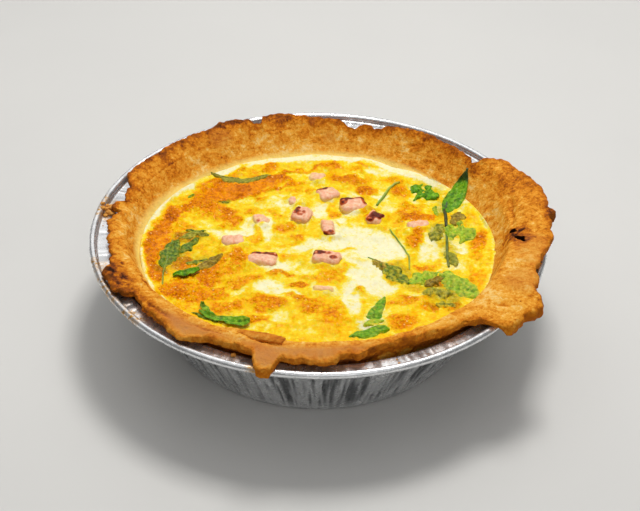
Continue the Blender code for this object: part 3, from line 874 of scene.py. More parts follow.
# ---- foil tin ----
@dataclass
class FoilTin:
    """The fluted foil tin with its pleated flange and rolled bead."""

    base_r: float = 42.3
    wall_top_r: float = 57.3
    flange_z: float = 27.8
    flange_r: float = 61.6
    roll_r: float = 0.98
    roll_z: float = 29.02
    foil: float = 0.35
    columns: int = 1200
    seed: int = 11
    fold_pitch: float = 1.1
    fold_stretch: float = 11.0
    fold_lean: float = 2.6
    wall_depth: float = 0.5
    flange_depth: float = 0.22
    crinkle: float = 3.2
    hub_r: float = 8.0
    heel: float = 1.1
    waist: float = 0.25
    roll_turns: tuple[int, int, int] = (-90, 211, 25)
    # Angle and half width of each stain, and the radius at which they begin.
    stains: Rows = ((171, 7), (-152, 9), (-163, 4), (-140, 5), (-104, 3))
    stained_r: float = 57.0

    def section(self) -> tuple[list[tuple[float, float, float]], list[int]]:
        """The tin's cross-section and how its stretches are divided.

        Returns:
            Points of radius, height and fold depth, and the rows of each stretch.
        """
        waist_r = self.base_r + (self.wall_top_r - self.base_r) * self.waist
        waist_z = self.waist * self.flange_z
        inset = self.foil * 1.15
        roll = self.flange_r + self.roll_r - 0.1
        # Outside, from the middle of the base out and up to the flange.
        points = [
            (self.hub_r, 0.0, 0.0),
            (self.base_r - 0.7, 0.0, 0.0),
            (self.base_r + 0.1, 0.35, 0.0),
            (self.base_r + 0.6, self.heel, 0.12),
            (waist_r, waist_z, 0.9),
            (self.wall_top_r - 0.5, self.flange_z - self.heel, 1.0),
            (self.wall_top_r + 0.4, self.flange_z, 0.5),
            (self.flange_r - 0.4, self.flange_z + 0.05, 0.34),
        ]
        rows = [2, 2, 2, 5, 11, 3, 6, 2]
        for turn in range(*self.roll_turns):
            angle = math.radians(turn)
            points.append(
                (roll + self.roll_r * math.cos(angle), self.roll_z + self.roll_r * math.sin(angle), 0.1)
            )
            rows.append(1)
        # Inside, back from the flange to the middle of the base.
        points += [
            (self.flange_r - 0.55, self.flange_z + self.foil + 0.05, 0.34),
            (self.wall_top_r + 0.5 - inset, self.flange_z + self.foil, 0.5),
            (self.wall_top_r - 0.5 - inset, self.flange_z - self.heel, 1.0),
            (waist_r - inset, waist_z, 0.9),
            (self.base_r + 0.1 - inset, 1.2, 0.1),
            (self.base_r - 1.0, self.foil, 0.0),
            (self.hub_r, self.foil, 0.0),
        ]
        rows += [7, 3, 7, 3, 2, 2]
        return points, rows

    def folds(self, angles: Array, along: Array) -> Array:
        """How far the irregular pleats stand out, from -1 to 1.

        Args:
            angles: degrees round the tin, for each point.
            along: its distance along the section, up the wall and out over the flange.

        Returns:
            One value for each point.
        """
        grain = Grain(self.seed)
        turn = np.radians(angles)
        flat = np.stack([self.wall_top_r * np.cos(turn), self.wall_top_r * np.sin(turn), along], axis=1)
        sway = self.fold_lean * grain.wave(flat * np.array([1.0, 1.0, 0.8]), 26.0)
        turn = turn + np.radians(sway * (along / self.flange_z - 0.6))
        ring = np.stack([np.cos(turn), np.sin(turn)], axis=1) * self.wall_top_r
        broad = np.column_stack([ring, along / self.fold_stretch])
        ridge = 1.0 - 4.4 * np.abs(grain.wave(broad, 2.0 * self.fold_pitch))
        small = 1.0 - 4.4 * np.abs(grain.wave(broad + 77.0, 1.1 * self.fold_pitch))
        strong = 0.85 + 0.9 * grain.wave(flat + 33.0, 9.0)
        return np.clip((0.65 * ridge + 0.45 * small) * strong, -1.3, 1.0)

    def build(self) -> Piece:
        """Make the tin.

        Returns:
            The dressed tin, which replaces its solid.
        """
        points, rows = self.section()
        lines = fine_rows(np.array(points)[:, None, :], rows)[:, 0]
        angles = np.arange(self.columns) * 360.0 / self.columns
        grain = Grain(self.seed)
        turn = np.radians(angles)
        radius, height, share = (
            np.repeat(lines[:, axis : axis + 1], self.columns, axis=1) for axis in range(3)
        )
        every = np.broadcast_to(angles, radius.shape)
        past_wall = lines[:, 0] - self.wall_top_r
        along = np.where(past_wall > 0.0, past_wall + self.flange_z, lines[:, 1])
        along = np.repeat(along[:, None], self.columns, axis=1)
        fold = self.folds(every.ravel(), along.ravel()).reshape(radius.shape)
        flat = np.stack([radius * np.cos(turn), radius * np.sin(turn), height], axis=-1)
        crinkle = grain.rough(flat.reshape(-1, 3), self.crinkle, 2).reshape(radius.shape)
        on_wall = ease((self.wall_top_r + 0.6 - radius) / 1.4)
        radius = radius + share * on_wall * (self.wall_depth * fold + 0.14 * crinkle)
        height = height + share * (1.0 - on_wall) * (self.flange_depth * fold + 0.05 * crinkle)
        sway = grain.wave(flat.reshape(-1, 3), 24.0).reshape(radius.shape)
        rolled = (lines[:, 2] < 0.11) & (lines[:, 0] > self.flange_r - 0.2)
        radius[rolled] += 0.05 * crinkle[rolled] - 0.02
        height[rolled] += 0.1 * sway[rolled]
        sheet = np.stack([radius * np.cos(turn), radius * np.sin(turn), height], axis=-1)
        stained = np.zeros(radius.shape)
        for at, half in self.stains:
            stained = np.maximum(stained, hump(every, at, half))
        stained = stained * ease((radius - self.stained_r) / 4.0)
        # Painted shade: the pleats' valleys are darkened, more on the wall than on the flange.
        creased = ease((0.45 - fold) / 1.3) * np.clip(share * 1.6, 0.0, 1.0) * (0.6 + 0.3 * on_wall)
        body = capped_rings(sheet, 0.0, self.foil, {"stained": stained, "creased": creased})
        return dress(body.make("tin", FoilFinish().material()), ["foil_tin"])


# ---- pastry case ----
@dataclass(frozen=True)
class Crack:
    """A wandering split in the crust."""

    start: tuple[float, float]
    end: tuple[float, float]
    half: float
    depth: float

    def over(self, points: Array, grain: Grain) -> Array:
        """How deep in the split each point is.

        Args:
            points: rows of x, y and z.
            grain: the noise that makes it wander.

        Returns:
            0 to 1 for each point.
        """
        start, end = np.array(self.start), np.array(self.end)
        stray = 0.5 * np.column_stack([grain.wave(points + 11.0, 1.8), grain.wave(points + 57.0, 1.8)])
        place = points[:, :2] + stray - start
        line = end - start
        share = np.clip(place @ line / (line @ line), 0.0, 1.0)
        gap = np.linalg.norm(place - share[:, None] * line, axis=1)
        return np.exp(-((gap / self.half) ** 2)) * (0.4 + 0.6 * np.sin(np.pi * share) ** 0.5)


@dataclass
class PastryCase:
    """The shortcrust case, whose broken rim leans over the tin's flange."""

    tin: FoilTin
    columns: int = 960
    seed: int = 7
    gap: float = 0.3
    bead_r: float = 63.5
    over_bead_z: float = 30.45
    floor_z: float = 4.0
    floor_r: float = 39.5
    edge_thickness: float = 2.3
    lip_least: float = 1.4
    rim_r: float = 60.0
    lap_r: float = 60.4
    middle_r: float = 60.9
    low_z: float = 14.0
    high_z: float = 25.5
    filling_z: float = 22.9
    filling_r: float = 48.1
    filling_oval: float = 0.8
    crest_r: float = 54.3
    slope: float = 0.84
    # Rows of each stretch of the section, and the first and last row that are softened.
    rows_between: tuple[int, ...] = (2, 2, 3, 7, 7, 4, 5, 15, 12, 12, 11, 3, 2)
    first_soft: int = 4
    last_soft: int = 83
    first_seen: int = 7
    split_z: float = 27.5
    tab_angle: float = -101.8
    tab_left: float = 4.5
    tab_right: float = 3.4
    tab_flare: float = 2.6
    tab_side: float = 1.6
    tab_reach: float = 65.4
    tab_round: float = 0.34
    tab_hang_r: float = 64.0
    tab_tip_z: float = 28.3
    tongue_angle: float = -108.0
    tongue_half: float = 11.0
    tongue_reach: float = 1.6
    flap_start: float = 65.0
    flap_hang: float = 1.8
    # Angle, reach and height of the rim in broad strokes.
    rim: Rows = (
        (-179, 58.2, 30.6), (-164, 58.2, 30.8), (-157, 62.2, 31.6), (-150, 62.4, 31.6),
        (-145.2, 58.4, 31.3), (-136, 59.4, 31.8), (-124, 61.8, 32), (-117.5, 58.6, 31.9),
        (-110, 57.8, 31.9), (-88, 61, 32.6), (-70, 55.6, 31.9), (-58, 56.8, 31.9), (-47, 60, 32.3),
        (-42, 67.2, 31.6), (-34, 68.8, 32), (-26, 64.4, 33), (-16, 62.6, 33.4), (-4, 64.6, 34),
        (12, 66, 34.2), (28, 63.6, 33.6), (38, 57.6, 32.6), (60, 58, 32.4), (78, 56.4, 31.7),
        (88, 57.6, 31.9), (100, 59, 32.4), (118, 59.6, 32.8), (132, 60, 32.4), (156, 60.8, 31.8),
        (162, 57.8, 31), (167, 57, 30.8), (176, 57.4, 30.6),
    )
    # Angle, half width and how far a broken bit stands out or bites in.
    lumps: Rows = (
        (170.6, 3, 2.4), (178.8, 1.6, 1.6), (118.4, 4.5, 1), (109.6, 2.4, -2), (103, 4.5, 1.3),
        (79.7, 3, -1.1), (71.3, 2.6, -0.8), (35.4, 2.4, -1.4), (3.6, 2, 1.6), (-9, 6, 0.6),
        (-21, 3, -0.9), (-31.5, 3, 0.9), (-36.5, 1.6, -0.7), (-50.5, 3, -0.8), (-79.2, 2.8, 0.5),
        (-82.8, 3.2, -1.1), (-90, 3.4, 0.6), (-97, 3.6, 0.8), (-106.4, 4.2, 0.6), (-123.5, 2.6, 0.5),
    )
    # Angle, half width and strength of the stretches that are toothed or bitten all along.
    toothed: Rows = ((180, 40, 1.3), (-145, 25, 0.6))
    ragged: Rows = ((178, 30, 0.9), (-25, 40, 0.5), (100, 60, 0.6))
    # Angle, half width and reach of the stretches where the filling soaked in.
    soaks: Rows = ((100, 75, 2.2), (190, 60, 3.4))
    # Angle, half width, inner radius and depth of colour of the darkest parts.
    scorched: Rows = (
        (-154, 13, 54.5, 0.34), (-158, 7, 56.5, 0.26), (-149, 4, 58, 0.2), (-136, 12, 55, 0.16),
        (-172, 8, 56, 0.1), (118, 9, 56.5, 0.28), (103, 9, 56, 0.24), (140, 14, 55.5, 0.14),
        (171, 7, 57, 0.16), (3, 3.5, 62.5, 0.34), (-31, 9, 63, 0.16), (85, 10, 55.5, 0.1),
        (60, 14, 55.5, 0.1),
    )
    cracks: tuple[Crack, ...] = (
        Crack((54.9, 14), (54.2, 1.5), 0.5, 0.55), Crack((45.5, -36.4), (49.6, -37.3), 0.6, 0.4),
        Crack((26.6, 46.6), (29.8, 45.9), 0.45, 0.35), Crack((-48, -22.5), (-43.5, -31), 0.4, 0.3),
        Crack((12.5, -55.4), (22, -53.6), 0.5, 0.35), Crack((-43.8, -37.4), (-38, -43.4), 0.5, 0.6),
        Crack((-17.5, -51.4), (-8.6, -54.3), 0.4, 0.6), Crack((-33, -45.6), (-24, -50.2), 0.35, 0.3),
        Crack((-55, 10.5), (-52, 15), 0.4, 0.3),
    )
    dusted: tuple[Patch, ...] = patches(
        (-2, 57, 1, 2.2, 35, -20), (3, 53, 2.2, 1.4, 25), (58, -14, 5, 8, 30), (55, -27, 6, 5, 35),
        (-30, 47, 4, 2, 30, 30),
    )
    # The route of the thin rolled layer along the inside of the front lip.
    fold_route: Rows = ((-23, -47.8, 31), (-17, -49.9, 31.7), (-12.2, -51.5, 31.95), (-8.2, -53, 31.9))
    # Centre and half width of the widest slope.
    wide: tuple[float, float] = (0.0, 50.0)
    # Centre, half width and side width of the front lip's darker, duller tone: partly flour, partly painted
    # shade.
    dust_and_lip_shade: tuple[float, float, float] = (-98.0, 30.0, 12.0)
    fold_half: float = 1.45
    fold_flat: float = 0.5
    fold_steps: int = 60
    fold_sides: int = 28
    # x, y, half width, half length, turn and lowest height of each baked hole.
    holes: Rows = ((53.9, -2, 0.9, 1.3, 20, 26.7), (55.2, -7.4, 0.9, 2, 30, 25.4))
    hole_sides: int = 24
    hole_top_z: float = 38.0
    hole_rim_baked: float = 0.62

    def front(self, angle: Array) -> Array:
        """1 at the front, where the lip stands steep, and 0 at the back."""
        return ease(0.5 - 1.1 * np.sin(np.radians(angle)))

    def slope_z(self, radius: Array) -> Array:
        """Height of the baked slope above the filling."""
        return self.filling_z + (radius - self.filling_r) * self.slope + 0.4

    def filling_edge(self, angle: Array) -> Array:
        """Radius at which the filling meets the pastry."""
        return self.filling_r + self.filling_oval * np.cos(2 * np.radians(angle))

    def tab(self, angle: Array) -> Array:
        """The tab that folds over the bead and flares at its root.

        Args:
            angle: in degrees.

        Returns:
            1 on the tab and 0 off it.
        """
        across = degrees_between(angle, self.tab_angle)
        left = ease((across + self.tab_left) / self.tab_flare)
        return np.minimum(left, ease((self.tab_right - across) / self.tab_side))

    def strokes(self, angle: Array) -> tuple[Array, Array]:
        """The rim in broad strokes.

        Args:
            angle: in degrees.

        Returns:
            Its reach and its height.
        """
        starts = np.array([row[0] % 360 for row in self.rim])
        order = np.argsort(starts)
        starts = np.append(starts[order], starts[order][0] + 360.0)
        numbers = np.array([row[1:] for row in self.rim])[order]
        numbers = np.vstack([numbers, numbers[:1]])
        around = (angle - starts[0]) % 360.0 + starts[0]
        slot = np.clip(np.searchsorted(starts, around, side="right") - 1, 0, len(self.rim) - 1)
        share = ease((around - starts[slot]) / (starts[slot + 1] - starts[slot]))[:, None]
        found = numbers[slot] + (numbers[slot + 1] - numbers[slot]) * share
        return found[:, 0], found[:, 1]

    def edge(self, angle: Array) -> tuple[Array, Array]:
        """The rim with its broken bits, its ragged edge and its tab.

        Args:
            angle: in degrees.

        Returns:
            Its reach and its height.
        """
        reach, top = self.strokes(angle)
        reach = humps(angle, self.lumps, reach)
        top = np.minimum(top, self.slope_z(reach) + 0.7 + 1.3 * self.front(angle))
        tab = self.tab(angle)
        across = degrees_between(angle, self.tab_angle)
        reach = reach + (self.tab_reach - self.tab_round * across**2 - reach) * tab
        turn = np.radians(angle)
        ring = self.rim_r * np.stack([np.cos(turn), np.sin(turn), np.zeros_like(turn)], axis=1)
        grain = Grain(self.seed)
        teeth = humps(angle, self.toothed, 0.75)
        torn = 0.45 * grain.wave(ring, 4.6) + 0.42 * teeth * grain.wave(ring + 50.0, 2.3)
        torn = torn + 0.25 * teeth * grain.wave(ring + 90.0, 1.1) - 0.1
        bites = np.clip(np.abs(grain.wave(ring + 210.0, 3.4)) - 0.12, 0.0, 0.5)
        torn = torn + humps(angle, self.ragged) * (0.35 - 2.2 * bites)
        reach = reach + torn * (1.0 - 0.6 * tab)
        top = top + 0.22 * grain.wave(ring + 130.0, 3.4) + 0.12 * grain.wave(ring + 170.0, 1.3)
        return reach, top

    def sections(self, angle: Array) -> Array:
        """The case's section at each angle, from its underside round the lip to its floor.

        Args:
            angle: in degrees.

        Returns:
            Points by columns by 2, radius and height.
        """
        front, tab = self.front(angle), self.tab(angle)
        reach, top = self.edge(angle)
        flange_top = self.tin.flange_z + self.tin.foil
        droop = ease((reach - self.tab_hang_r) / 0.9) * tab
        lap = ease(reach - self.lap_r)
        start_r = np.minimum(self.tin.wall_top_r - 0.4, reach - 0.7)
        over_flange = flange_top + 0.75 + 0.8 * front + 0.7 * tab
        start_z = np.minimum(over_flange, top - self.edge_thickness - 0.3)
        start_z = start_z + (over_flange - start_z) * ease((start_r - 55.4) / 0.6)
        edge_z = np.maximum(start_z, top - self.edge_thickness)
        edge_z = edge_z + (np.maximum(edge_z, self.over_bead_z) - edge_z) * lap
        middle_r = np.minimum((start_r + reach - 0.3) / 2, self.middle_r)
        middle_z = start_z + (edge_z - start_z) * 0.9
        past = np.maximum(tab, ease(reach - self.flap_start + 1.0))
        middle_r = middle_r + (self.bead_r + 0.5 - middle_r) * past
        middle_z = middle_z + (self.over_bead_z - middle_z) * past
        start_z = start_z + (np.maximum(start_z, flange_top + 1.6) - start_z) * past
        hang = ease((reach - self.flap_start) / 2.0) * (1 - tab)
        edge_z = edge_z + (top - self.edge_thickness - self.flap_hang - edge_z) * hang
        edge_z = edge_z + (self.tab_tip_z - edge_z) * droop
        tongue = hump(angle, self.tongue_angle, self.tongue_half)
        crest_r = np.minimum(self.crest_r - 1.5 * front - self.tongue_reach * tongue, reach - 1.8)
        wide = hump(angle, *self.wide)
        crest_z = (self.slope_z(crest_r) - 0.3 * wide) * (1 - front) + (top - 0.3) * front
        top = np.maximum(top, middle_z + self.lip_least)
        lip_r = np.minimum(crest_r * 0.45 + reach * 0.55, self.tin.wall_top_r + 0.9)
        lip_z = np.maximum(crest_z * 0.4 + top * 0.6 + 0.25, middle_z + self.lip_least)
        filling_r = self.filling_edge(angle)
        flat = np.zeros_like(angle)
        clearance = self.tin.foil * 1.15 + 0.5 + self.gap
        low_r, high_r = (
            self.tin.base_r + (self.tin.wall_top_r - self.tin.base_r) * z / self.tin.flange_z - clearance
            for z in (self.low_z, self.high_z)
        )
        rows = [
            (flat + self.tin.base_r - 1.9, flat + self.tin.foil + self.gap),
            (flat + low_r, flat + self.low_z),
            (np.minimum(high_r, start_r - 0.2), flat + self.high_z),
            (start_r, start_z),
            (middle_r, middle_z),
            (reach - 0.3, edge_z),
            (reach, (edge_z + top) / 2),
            (reach - 0.5, top),
            (lip_r, lip_z),
            (crest_r, crest_z),
            ((filling_r + crest_r) / 2 + 0.3, (self.filling_z + crest_z) / 2 - 0.35 + 0.45 * wide),
            (filling_r, flat + self.filling_z),
            (filling_r - 1.6, flat + self.filling_z - 2.4),
            (flat + self.floor_r, flat + self.floor_z + 0.3),
        ]
        return np.array(rows).transpose(0, 2, 1)

    def soaked(self, angle: Array, radius: Array, height: Array) -> Array:
        """How far the filling has soaked into the foot of the slope.

        Args:
            angle: the angle of each point.
            radius: its radius.
            height: its height.

        Returns:
            0 to 1 for each point.
        """
        climb = np.hypot(radius - self.filling_edge(angle), height - self.filling_z)
        return ease(1.25 - climb / humps(angle, self.soaks, 0.9)) * (radius < 56.0)

    def build(self) -> Piece:
        """Make the pastry case.

        Returns:
            The dressed case, which replaces its solid.
        """
        angles = np.arange(self.columns) * 360.0 / self.columns
        turn = np.radians(angles)
        rows = fine_rows(self.sections(angles), self.rows_between)
        soft = slice(self.first_soft - 1, self.last_soft + 2)
        rows[soft] = soften(rows[soft], 6)
        radius, height = rows[..., 0], rows[..., 1]
        sheet = np.stack([radius * np.cos(turn), radius * np.sin(turn), height], axis=-1)
        every = np.broadcast_to(angles, radius.shape)
        grain = Grain(self.seed + 1)
        flat = sheet.reshape(-1, 3)
        shape = radius.shape
        seen = np.zeros(shape)
        seen[self.first_seen : self.last_soft] = 1.0
        lip = ease((radius - 53.5) / 4.0) * seen
        near_edge = ease((radius - self.edge(angles)[0][None, :] + 2.6) / 2.2) * seen
        relief = 0.2 * grain.wave(flat, 7.0) + 0.17 * grain.wave(flat + 40.0, 2.9)
        relief = relief + 0.13 * grain.wave(flat + 80.0, 1.5) + 0.09 * grain.wave(flat + 120.0, 1.0)
        chunky = grain.wave(flat * np.array([1.0, 1.0, 2.4]) + 160.0, 1.7).reshape(shape)
        chunky = (0.2 + 0.12 * self.front(every)) * chunky * near_edge
        relief = relief.reshape(shape) * (0.85 + 0.5 * near_edge) + chunky
        split = sum(crack.over(flat, grain) * crack.depth for crack in self.cracks).reshape(shape)
        relief = relief - split * (height > self.split_z)
        sheet = sheet + sheet_normals(sheet) * (relief * seen)[..., None]
        marks = self.marks(every, radius, height, near_edge, lip, grain, flat)
        body = capped_rings(sheet, rows[0, 0, 1], self.floor_z, marks)
        finish = PastryFinish().material()
        dress(self.fold(grain).make("pastry_fold", finish), [])
        pastry = body.make("pastry", finish)
        self.pierce(pastry)
        return dress(pastry, ["pastry_case"])

    def fold(self, grain: Grain) -> Surface:
        """The thin rolled layer that lies along the inside of the front lip.

        Args:
            grain: the noise that roughens it.

        Returns:
            The layer, with the pastry's marks.
        """
        share = np.linspace(0.0, 1.0, self.fold_steps)
        line = soften(along_knots(share, self.fold_route), 8)
        radii = self.fold_half * (0.25 + 0.75 * np.sin(np.pi * np.clip(0.04 + share * 0.7, 0, 1)) ** 0.5)
        roll = tube(line, radii, self.fold_sides)
        centre = np.repeat(line, self.fold_sides, axis=0)
        points = centre + (roll.points - centre) * np.array([1.0, 1.0, self.fold_flat])
        rough = 0.22 * grain.wave(points, 3.0) + 0.1 * grain.wave(points + 30.0, 1.2)
        points[:, 2] += rough
        points[:, 1] += 0.7 * rough
        cloud = grain.wave(points + 70.0, 2.5)
        far = ease((share - 0.75) / 0.2).repeat(self.fold_sides)
        # Painted shade: the roll's lower side is darker.
        low = ease((centre[:, 2] - 0.1 - points[:, 2]) / 0.5)
        marks = {
            "baked": 0.36 + 0.12 * cloud + 0.16 * far + 0.35 * low,
            "soaked": np.zeros(len(points)),
            "torn": np.clip(0.45 + 0.4 * cloud, 0.0, 1.0),
            "floury": np.full(len(points), 0.3),
            "burnt": np.zeros(len(points)),
        }
        return Surface(points, roll.faces, marks)

    def marks(
        self, every: Array, radius: Array, height: Array, near_edge: Array, lip: Array,
        grain: Grain, flat: Array,
    ) -> dict[str, Array]:
        """How baked, soaked and torn each point is, and how much flour and painted shade it has; baked also
        paints shade under the lip. Only the holes get a painted near-black, their shade as well as char.

        Args:
            every: the angle of each point.
            radius: its radius.
            height: its height.
            near_edge: how near it is to the broken edge, from 0 to 1.
            lip: how far up the lip it is, from 0 to 1.
            grain: the noise of the bake.
            flat: the points as rows of x, y and z.

        Returns:
            The marks by name.
        """
        shape = radius.shape
        x, y = radius * np.cos(np.radians(every)), radius * np.sin(np.radians(every))
        cloud = grain.rough(flat + 300.0, 7.0, 3).reshape(shape)
        blotch = grain.rough(flat + 700.0, 2.0, 2).reshape(shape)
        front = self.front(every)
        baked = 0.28 + 0.13 * cloud + 0.14 * lip * (1 - front) + 0.2 * near_edge * (1 - 0.4 * front)
        for at, half, from_r, amount in self.scorched:
            there = hump(every, at, half) * ease((radius - from_r) / 2.5)
            baked = baked + amount * there * (1.0 + 0.9 * blotch)
        edge_top = self.edge(every[0])[1][None, :]
        face = ease((edge_top - 0.5 - height) / 0.9) * near_edge
        # Painted shade: the lip's underside over the flange is made darker and given the torn colour.
        underside_shade = ease((29.7 - height) / 1.3) * (radius > 55.0) * (radius < 62.5)
        baked = baked + 0.5 * underside_shade + 0.08 * face
        split = sum(crack.over(flat, grain) for crack in self.cracks).reshape(shape)
        baked = baked + 0.3 * split * (height > self.split_z)
        for hole_x, hole_y, half_width, half_length, _, _ in self.holes:
            gap = np.hypot(x - hole_x, y - hole_y) / (half_width + half_length)
            baked = baked + 0.3 * ease(1.7 - gap * (1.0 + 0.5 * blotch)) * (height > 27.0)
        floury = plateau(every, *self.dust_and_lip_shade) * lip * (1 - 0.8 * near_edge) * (1 - face)
        for spot in self.dusted:
            floury = np.maximum(floury, spot.over(x, y) * (height > 26.0))
        soaked = self.soaked(every, radius, height)
        torn = near_edge * (0.45 + 0.4 * cloud) + 0.55 * face * front + 0.3 * underside_shade
        return {
            "baked": baked,
            "soaked": soaked,
            "torn": np.clip(torn, 0.0, 1.0),
            "floury": np.clip(floury, 0.0, 1.0),
            "burnt": np.zeros(shape),
        }

    def pierce(self, pastry: Piece) -> None:
        """Cut the two baked holes into the lip, painted near-black inside as shade and char.

        Args:
            pastry: the case that they are cut into.
        """
        grain = Grain(self.seed + 2)
        sides = self.hole_sides
        around = 2 * np.pi * np.arange(sides) / sides
        made = []
        for x, y, half_width, half_length, turn, bottom in self.holes:
            ring = np.stack([half_width * np.cos(around), half_length * np.sin(around), 0 * around], axis=1)
            ring = ring * (1.0 + 0.5 * grain.wave(ring + x, 0.9))[:, None]
            cos, sin = math.cos(math.radians(turn)), math.sin(math.radians(turn))
            spun = np.array([[cos, sin, 0], [-sin, cos, 0], [0, 0, 1]])
            low = ring @ spun * 0.8 + np.array([x, y, bottom])
            high = ring @ spun * 1.25 + np.array([x, y, self.hole_top_z])
            faces = ring_faces(sides, 2)
            faces += [tuple(reversed(range(sides))), tuple(range(sides, 2 * sides))]
            made.append(Surface(np.concatenate([low, high]), faces))
        pegs = join(made).make("hole_pegs", bpy.data.materials.new("pits"))
        pegs.data.shade_flat()
        cut = pastry.modifiers.new("holes", "BOOLEAN")
        cut.object = pegs
        cut.operation = "DIFFERENCE"
        cut.solver = "EXACT"
        cut.material_mode = "TRANSFER"
        graph = bpy.context.evaluated_depsgraph_get()
        done = bpy.data.meshes.new_from_object(pastry.evaluated_get(graph))
        pastry.modifiers.clear()
        pastry.data = done
        bpy.data.objects.remove(pegs)
        corners = np.empty(len(done.loops), np.int32)
        done.loops.foreach_get("vertex_index", corners)
        slots, sizes = (np.empty(len(done.polygons), np.int32) for _ in range(2))
        done.polygons.foreach_get("material_index", slots)
        done.polygons.foreach_get("loop_total", sizes)
        inside = np.repeat(slots > 0, sizes)
        # Marks on the faces' corners keep the painted shade and char inside the holes.
        for name, rim_value in (("burnt", 0.0), ("baked", self.hole_rim_baked)):
            values = np.empty(len(done.vertices), np.float32)
            done.attributes[name].data.foreach_get("value", values)
            values[corners[inside]] = rim_value
            values = values[corners]
            values[inside] = 1.0
            done.attributes.remove(done.attributes[name])
            done.attributes.new(name, "FLOAT", "CORNER").data.foreach_set("value", values)
        done.polygons.foreach_set("material_index", np.zeros(len(slots), np.int32))
        while len(done.materials) > 1:
            done.materials.pop()


